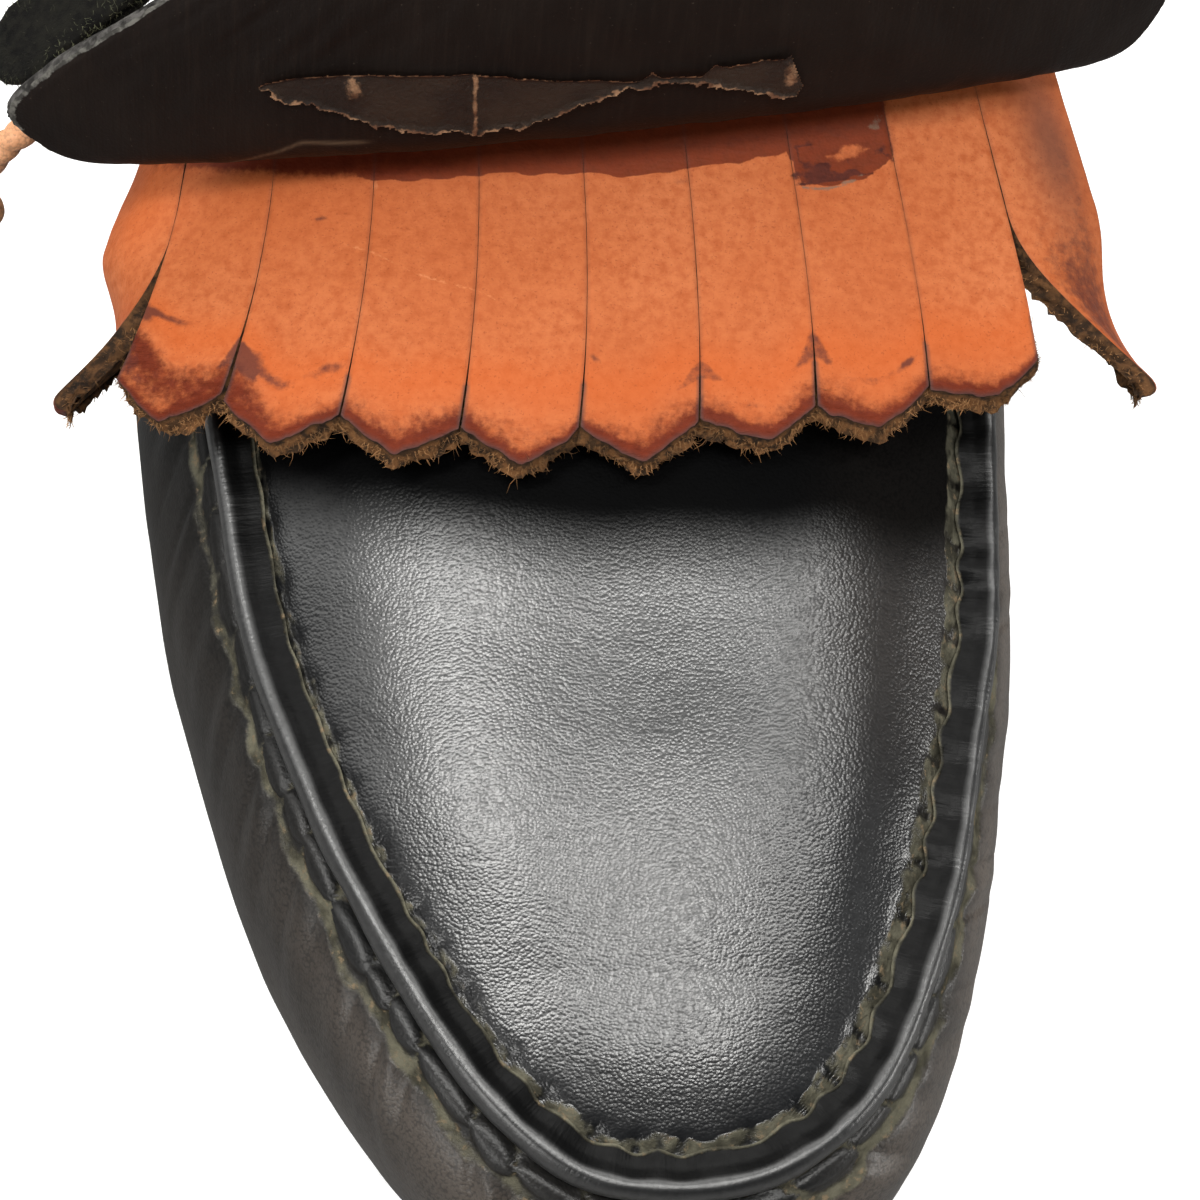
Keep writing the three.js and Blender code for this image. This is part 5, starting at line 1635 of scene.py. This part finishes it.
# %% Torn layer
TORN_TOP = [
    # across from the flap's middle, length from its sewn edge
    (-35.5, 28.9), (-34.5, 29.7), (-30.7, 30.2), (-25.4, 30.2), (-19.3, 29.5), (-12.8, 29.1),
    (-7.5, 27.9), (-3.4, 27.2), (0.8, 26.6), (5.2, 25.9), (6.4, 26.9), (7.6, 26.1),
    (11.8, 25.7), (13.2, 27.0), (15.0, 26.6), (18.2, 26.9), (20.9, 26.6), (21.6, 27.3),
    (22.6, 24.2), (23.4, 22.4),
]
TORN_FOOT = [
    # across from the flap's middle, length from its sewn edge
    (-35.5, 28.7), (-34.2, 28.2), (-32.5, 26.7), (-29.9, 26.1), (-27.2, 24.8), (-22.5, 22.1),
    (-16.7, 21.0), (-11.8, 20.1), (-6.6, 20.9), (-0.1, 23.6), (5.2, 24.9), (7.4, 24.9),
    (11.7, 24.2), (16.2, 22.8), (20.0, 21.2), (22.4, 20.9), (23.4, 22.2),
]
TORN_STEP = 0.16
torn_a, torn_l = np.meshgrid(np.arange(-35.5, 23.4, TORN_STEP), np.arange(19.5, 31.2, TORN_STEP))
ragged = 0.35 * hash_noise(torn_a / 1.3, torn_l / 1.3, 65)
ragged = ragged + 0.22 * hash_noise(torn_a / 0.45, torn_l / 0.45, 66)
above = np.interp(torn_a, *np.transpose(TORN_TOP)) + 0.6 * ragged - torn_l
below = torn_l - np.interp(torn_a, *np.transpose(TORN_FOOT)) + 1.2 * ragged
torn_in = np.minimum(above, below)
tears = hill(torn_a + 12.4 + 0.2 * ragged, 0.42)
tears = tears + patch(torn_a, torn_l, -25.2, 28.0, 1.3, 2.4)
tears = tears + 0.8 * patch(torn_a, torn_l, -24.0, 22.5, 0.6, 1.3)
tears = tears + patch(torn_a, torn_l, 21.8, 24.0, 1.3, 2.6)
torn_rim = np.maximum(1 - smooth((torn_in - 0.1) / np.where(above < below, 0.45, 0.75)), tears)
torn_rise = 0.12 + 0.3 * torn_rim * (1 + ragged)
lateral, medial = table(FLAP_OUTLINE, torn_l / FLAP_LENGTH)
torn_share = torn_a / (FLAP_HALF * np.where(torn_a < 0, lateral, medial))
torn_points = flap_point(torn_share, torn_l, -torn_rise - 0.25).reshape(-1, 3)
kept = grid(*torn_a.shape)
kept = kept[(torn_in.ravel()[kept] > 0).all(1)]
used, local = np.unique(kept, return_inverse=True)
torn_faces, rim = local.reshape(kept.shape), torn_rim.ravel()[used]
write_piece("torn_layer", torn_points[used], torn_faces, SCAB, "flap_leather", "flap", rim=rim)

# %% [markdown]
# The tassel's suede strands are cut strips, bound at one end and lying on the throat's shoulder. Suede is
# split leather brushed to a nap, so every strand carries short fibres that catch the light at its rim.

# %% Tassel
TASSEL_START, TASSEL_NECK, TASSEL_WIDTH = (0.362, 0.513, 0.95), (0.419, 0.494, 0.85), 9.0
STRAND_ENDS = [(0.69, 0.438, 0.7), (0.648, 0.467, 0.67), (0.59, 0.493, 0.64), (0.638, 0.453, 0.665)]
STRAND_WIDTH, STRAND_ROOT, STRAND_LEATHER, STRAND_ARCH = 11.0, 0.55, 1.8, 3.0
STRAND_ROWS, STRAND_SIDES, NAP_COUNT = 60, 44, 1600
head_start, head_neck = beside(*TASSEL_START), beside(*TASSEL_NECK)
head_t = np.linspace(0, 1, 40)
head_line = head_start + (head_neck - head_start) * head_t[:, None]
head_radius = TASSEL_WIDTH / 2 * mix(0.62, 1, np.sin(math.pi * head_t) ** 0.5)
head_radius *= 1 - 0.06 * np.abs(np.sin(head_t * math.pi * 6))
head_points, head_faces = tube(head_line, head_radius[:, None], 40)
write_piece("tassel_head", head_points, head_faces, SUEDE, "black_suede", "tassel")
nap_roots, nap_ways = [], []
strand_points, strand_faces = [], []
for number, end in enumerate(STRAND_ENDS):
    start_at = head_start + (head_neck - head_start) * 0.6
    free = beside(*end)
    ahead = unit(free - start_at)
    flat_way = unit(np.cross(ahead, np.array([-0.5, 0, 1])))
    facing = np.cross(flat_way, ahead)
    share = np.linspace(0, 1, STRAND_ROWS)
    arch = STRAND_ARCH * share * (1 - share) * 4
    middle = mix(start_at, free, share[:, None]) + facing * arch[:, None]
    clear = clear_height(middle[:, 0], middle[:, 1] + HEEL_MIDDLE) + STRAND_LEATHER
    middle[:, 2] = np.maximum(middle[:, 2], clear)
    end_round = np.sqrt(np.clip(1 - np.clip((share - 0.84) / 0.16, 0, 1) ** 2, 0.02, 1))
    half = STRAND_WIDTH * mix(STRAND_ROOT, 1, smooth(share * 3)) * end_round / 2
    around = np.linspace(0, 2 * math.pi, STRAND_SIDES, endpoint=False)
    wide = np.sign(np.cos(around)) * np.abs(np.cos(around)) ** 0.45
    thick = np.sign(np.sin(around)) * np.abs(np.sin(around)) ** 0.6
    rough = 1 + 0.04 * hash_noise(share[:, None] * 30 + number * 9, around[None] * 3, 71)
    ring = flat_way * (half[:, None] * wide[None] * rough)[..., None]
    ring = ring + facing * (STRAND_LEATHER / 2 * thick[None] * rough)[..., None]
    points = (middle[:, None] + ring).reshape(-1, 3)
    start = sum(len(p) for p in strand_points)
    strand_points.append(points)
    strand_faces += grid(STRAND_ROWS, STRAND_SIDES, start, closed=True).tolist()
    strand_faces.append(list(range(start + len(points) - STRAND_SIDES, start + len(points))))
    pick = rng.integers(0, len(points), NAP_COUNT)
    nap_roots.append(points[pick])
    nap_ways.append(unit(ring.reshape(-1, 3)[pick] + rng.normal(0, 1.2, (NAP_COUNT, 3))))
write_piece("tassel_strands", np.vstack(strand_points), strand_faces, SUEDE, "black_suede", "tassel")
write_fibres(
    "tassel_nap",
    np.vstack(nap_roots),
    np.vstack(nap_ways),
    rng.uniform(0.25, 0.75, NAP_COUNT * len(STRAND_ENDS)),
    rng.uniform(0.04, 0.09, NAP_COUNT * len(STRAND_ENDS)),
    NAP,
    "black_suede",
    "tassel",
    seed=5,
)

# %% [markdown]
# Below the upper lie the leather sole, the stacked heel and its rubber lift. None of them shows in the
# photograph, so they are finished plainly, as such a shoe has them: a dark waxed edge, a tread with a
# channel for the stitches, and thin leather layers in the heel.

# %% Sole
def plan_loop(inset, from_d, to_d, count, straight=False):
    """A closed loop round the sole, drawn in from the widest line, from the medial side round the toe end."""
    reach = LENGTH - 2 * inset
    turn = np.linspace(0, 1, count)
    share = np.sin(turn * math.pi / 2) if straight else (1 - np.cos(turn * math.pi)) / 2
    d = mix(from_d if straight else from_d + inset, to_d - inset, share)
    s = section(np.clip((d - inset) / reach, 0, 1) * LENGTH)
    left = s.middle - np.maximum(s.lateral - inset * s.plan, 0)
    right_side = s.middle + np.maximum(s.medial - inset * s.plan, 0)
    first = 0 if straight else 1
    return np.concatenate([left[::-1], right_side[first:]]), np.concatenate([d[::-1], d[first:]])


def feather_height(d):
    spring, pitch = table(BOTTOM, d / LENGTH)
    return FEATHER + TOE_SPRING * spring + HEEL_HEIGHT * pitch


def rings_to_piece(name, rings, material, slot, node, closed=True, **masks):
    points = np.array(rings)
    count = points.shape[1]
    faces = grid(len(rings), count, closed=closed).tolist()
    for first, turned in ((0, False), ((len(rings) - 1) * count, True)):
        for k in range(count // 2):
            quad = [first + k, first + k + 1, first + count - 2 - k, first + count - 1 - k]
            quad = list(dict.fromkeys(quad))
            if len(quad) > 2 and k + 1 <= count - 2 - k:
                faces.append(quad if turned else quad[::-1])
    return write_piece(name, points.reshape(-1, 3), faces, material, slot, node, **masks)


sole_rings = []
SOLE_PROFILE = [
    # how far in from the widest line, how far down: top, edge with a waxed groove, channel, tread
    *((26, 0), (12, 0), (3.2, 0), (2.75, 0.25)),
    *((2.5, 0.8), (2.5, 2.2), (2.65, 2.5), (2.5, 2.8), (2.5, 4.2), (2.8, 4.75)),
    *((3.4, 5.0), (6.0, 5.0), (6.3, 4.75), (6.9, 4.75), (7.2, 5.0)),
    *((12, 5.0), (26, 5.0)),
]
for inset, down in SOLE_PROFILE:
    x, d = plan_loop(inset, 0, LENGTH, 170)
    z = feather_height(d) - CLEARANCE - down
    sole_rings.append(np.stack([x, d - HEEL_MIDDLE, z], -1))
rings_to_piece("sole_edge_and_tread", sole_rings, SOLE, "sole_leather", "outsole", closed=False)

# %% Heel
def heel_rings(profile):
    rings = []
    for drawn, z in profile:
        inset = SOLE_INSET + HEEL_TAPER * (1 - z / HEEL_HEIGHT) + drawn
        x, d = plan_loop(inset, LENGTH - SOLE_INSET - HEEL_LENGTH + drawn, LENGTH, 60, straight=True)
        rings.append(np.stack([x, d - HEEL_MIDDLE, np.full_like(x, z)], -1))
    return rings


HEEL_LAYERS, LAYER_PITCH = 4, 3.35
layers = [(0.4, LIFT + CLEARANCE)]
for k in range(HEEL_LAYERS):
    low = LIFT + CLEARANCE + k * LAYER_PITCH
    layers += [(0.0, low + 0.3), (0.0, low + 3.05), (0.3, low + 3.3)]
layers[-1] = (0.3, HEEL_HEIGHT - CLEARANCE)
rings_to_piece("heel_layers", heel_rings(layers), STACK, "heel_leather", "heel_stack")
lift_profile = [(0.8, 0.0), (0.1, 0.5), (0.0, 1.2), (0.0, LIFT - 0.4), (0.3, LIFT)]
rings_to_piece("heel_rubber", heel_rings(lift_profile), RUBBER, "lift_rubber", "heel_lift")

# %% [markdown]
# The insole is a thin tan footbed. A slight edge roll and a hollow under the heel show that it was walked on.

# %% Insole
INSOLE_PROFILE = [
    # how far in from the widest line, how far up
    *((26, 0.0), (7.4, 0.0), (7.0, 0.3), (7.0, 1.4)),
    *((7.5, 1.9), (9, 2.0), (13, 2.0), (18, 1.9), (26, 1.85)),
]
insole_rings = []
for inset, rise in INSOLE_PROFILE:
    x, d = plan_loop(inset, 0, LENGTH, 140)
    insole_rings.append(np.stack([x, d - HEEL_MIDDLE, feather_height(d) + rise], -1))
rings_to_piece("footbed", insole_rings[::-1], FOOTBED, "insole_leather", "insole", closed=False)

# %% [markdown]
# The topline is bound with a thin rolled strip, and a tongue with a soft rounded edge closes the throat.

# %% Collar binding and tongue
inner_line = (wall - wall_normal * WALL / 2)[:-1, 0]
inner_run = wall_run[:-1, 0]
medial_arm = inner_line[inner_run > throat_run[1] - 0.5]
lateral_arm = inner_line[inner_run < throat_run[0] + 0.5]
BINDING_RADIUS, BINDING_SIDES = 1.45, 14
line = curve_through(np.vstack([medial_arm, lateral_arm])[::6], 420)[0]
points, faces = tube(line, BINDING_RADIUS, BINDING_SIDES)
write_piece("collar_binding", points, faces, ROLL_LEATHER, "black_leather", "upper")

TONGUE_LENGTH, TONGUE_WIDTH, TONGUE_ROWS = 27.0, 48.0, 60
tongue_v = np.linspace(0, 1, TONGUE_ROWS)
tongue_d = mix(THROAT - 4, THROAT + TONGUE_LENGTH, tongue_v)
left_over = np.clip((tongue_v - 0.55) / 0.45, 0, 1)
tongue_half = TONGUE_WIDTH / 2 * (1 - 0.08 * smooth(tongue_v / 0.5)) * (1 - left_over**2.6) ** (1 / 2.2)
tongue_u = np.linspace(-1, 1, TONGUE_ROWS)
tongue_x = tongue_half[:, None] * np.sin(tongue_u * math.pi / 2)[None, :]
tongue_dd = np.broadcast_to(tongue_d[:, None], tongue_x.shape)
over = on_vamp(tongue_x, tongue_dd)
tongue_normal = vamp_normal(tongue_x, tongue_dd)
side_rim = (1 - np.abs(tongue_u))[None, :] * tongue_half[:, None]
rim = np.minimum(side_rim, (1 - tongue_v)[:, None] * 30)
puff = 0.8 * np.sqrt(np.clip(rim / 3, 0, 1)) - 0.9
over_shaped = over + tongue_normal * puff[..., None]
thickness = WALL - 0.9 * (1 - np.sqrt(np.clip(rim / 2, 0, 1)))
under_shaped = over - tongue_normal * thickness[..., None]
tongue_points = np.vstack([over_shaped.reshape(-1, 3), under_shaped.reshape(-1, 3)])
below = TONGUE_ROWS * TONGUE_ROWS
tongue_faces = grid(TONGUE_ROWS, TONGUE_ROWS).tolist()
tongue_faces += grid(TONGUE_ROWS, TONGUE_ROWS, below, flip=True).tolist()
left_path = [j * TONGUE_ROWS for j in range(TONGUE_ROWS - 1, -1, -1)]
right_path = [j * TONGUE_ROWS + TONGUE_ROWS - 1 for j in range(1, TONGUE_ROWS)]
rim_path = [*left_path, *range(1, TONGUE_ROWS), *right_path]
for a, b in zip(rim_path, rim_path[1:]):
    tongue_faces.append([a, b, b + below, a + below])
write_piece("tongue", tongue_points, tongue_faces, WALL_LEATHER, "black_leather", "upper")

# %% [markdown]
# The studio is a pale floor under soft daylight. The plug mirrors what stands over it, so two narrow lamps
# hang over its left and right shoulders with a gap between them, for two bright bands and a darker middle. A
# third hangs over the toe. A broad lamp from behind throws the kiltie's shadow on the plug, a window on the
# left and a low lamp on the right shape the walls, and a weak ceiling fills the rest.

# %% Studio
floor_finish, tree, socket, place = finish("pale_floor", 0.8, 0.0, 0.3, 0.1)
seen = tree.nodes.new("ShaderNodeLightPath").outputs["Is Camera Ray"]
join(tree, blend(tree, seen, (0.26, 0.26, 0.26, 1), (0.9, 0.9, 0.9, 1)), socket["Base Color"])
join(tree, blend(tree, seen, (0, 0, 0, 1), (0.4, 0.4, 0.4, 1)), socket["Emission Color"])
socket["Emission Strength"].default_value = 1.0
mesh = bpy.data.meshes.new("floor")
mesh.from_pydata([(-4, -4, 0), (4, -4, 0), (4, 4, 0), (-4, 4, 0)], [], [(0, 1, 2, 3)])
mesh.materials.append(floor_finish)
floor = bpy.data.objects.new("floor", mesh)
bpy.context.collection.objects.link(floor)
floor.location.z = -0.0002

world = bpy.data.worlds.new("daylight")
world.use_nodes = True
daylight = world.node_tree.nodes["Background"].inputs
daylight["Color"].default_value = (0.9, 0.95, 1.0, 1)
daylight["Strength"].default_value = 0.08
bpy.context.scene.world = world

CENTRE = Vector((0.0, -0.19, 0.04))
LAMPS = [
    # name, place in metres from the plug, width, height, watts
    ("ceiling", (0.0, 0.25, 1.1), 1.2, 0.8, 1.5),
    ("overhead_left", (-0.3, -0.09, 0.8), 0.13, 0.42, 3.9),
    ("left_window", (-0.7, 0.22, 0.44), 0.6, 0.8, 2.6),
    ("right_window", (0.5, 0.07, 0.8), 0.13, 0.25, 1.6),
    ("overhead_front", (0.14, -0.15, 0.85), 0.3, 0.08, 2.5),
    ("behind", (0.05, 0.62, 0.6), 1.0, 0.5, 5.6),
    ("right_low", (0.7, -0.1, 0.06), 0.3, 0.12, 1.4),
    ("toe_left", (-0.5, -0.6, 0.25), 0.4, 0.3, 2.0),
]
for name, offset, width, height, watts in LAMPS:
    light = bpy.data.lights.new(name, "AREA")
    light.shape = "RECTANGLE"
    light.size, light.size_y = width, height
    light.energy = watts
    light.color = (1.0, 0.99, 0.96)
    lamp = bpy.data.objects.new(name, light)
    bpy.context.collection.objects.link(lamp)
    lamp.location = CENTRE + Vector(offset)
    lamp.rotation_euler = (-Vector(offset)).to_track_quat("-Z", "Y").to_euler()
bpy.context.scene.view_settings.view_transform = "Standard"
print("lamps:", [row[0] for row in LAMPS])
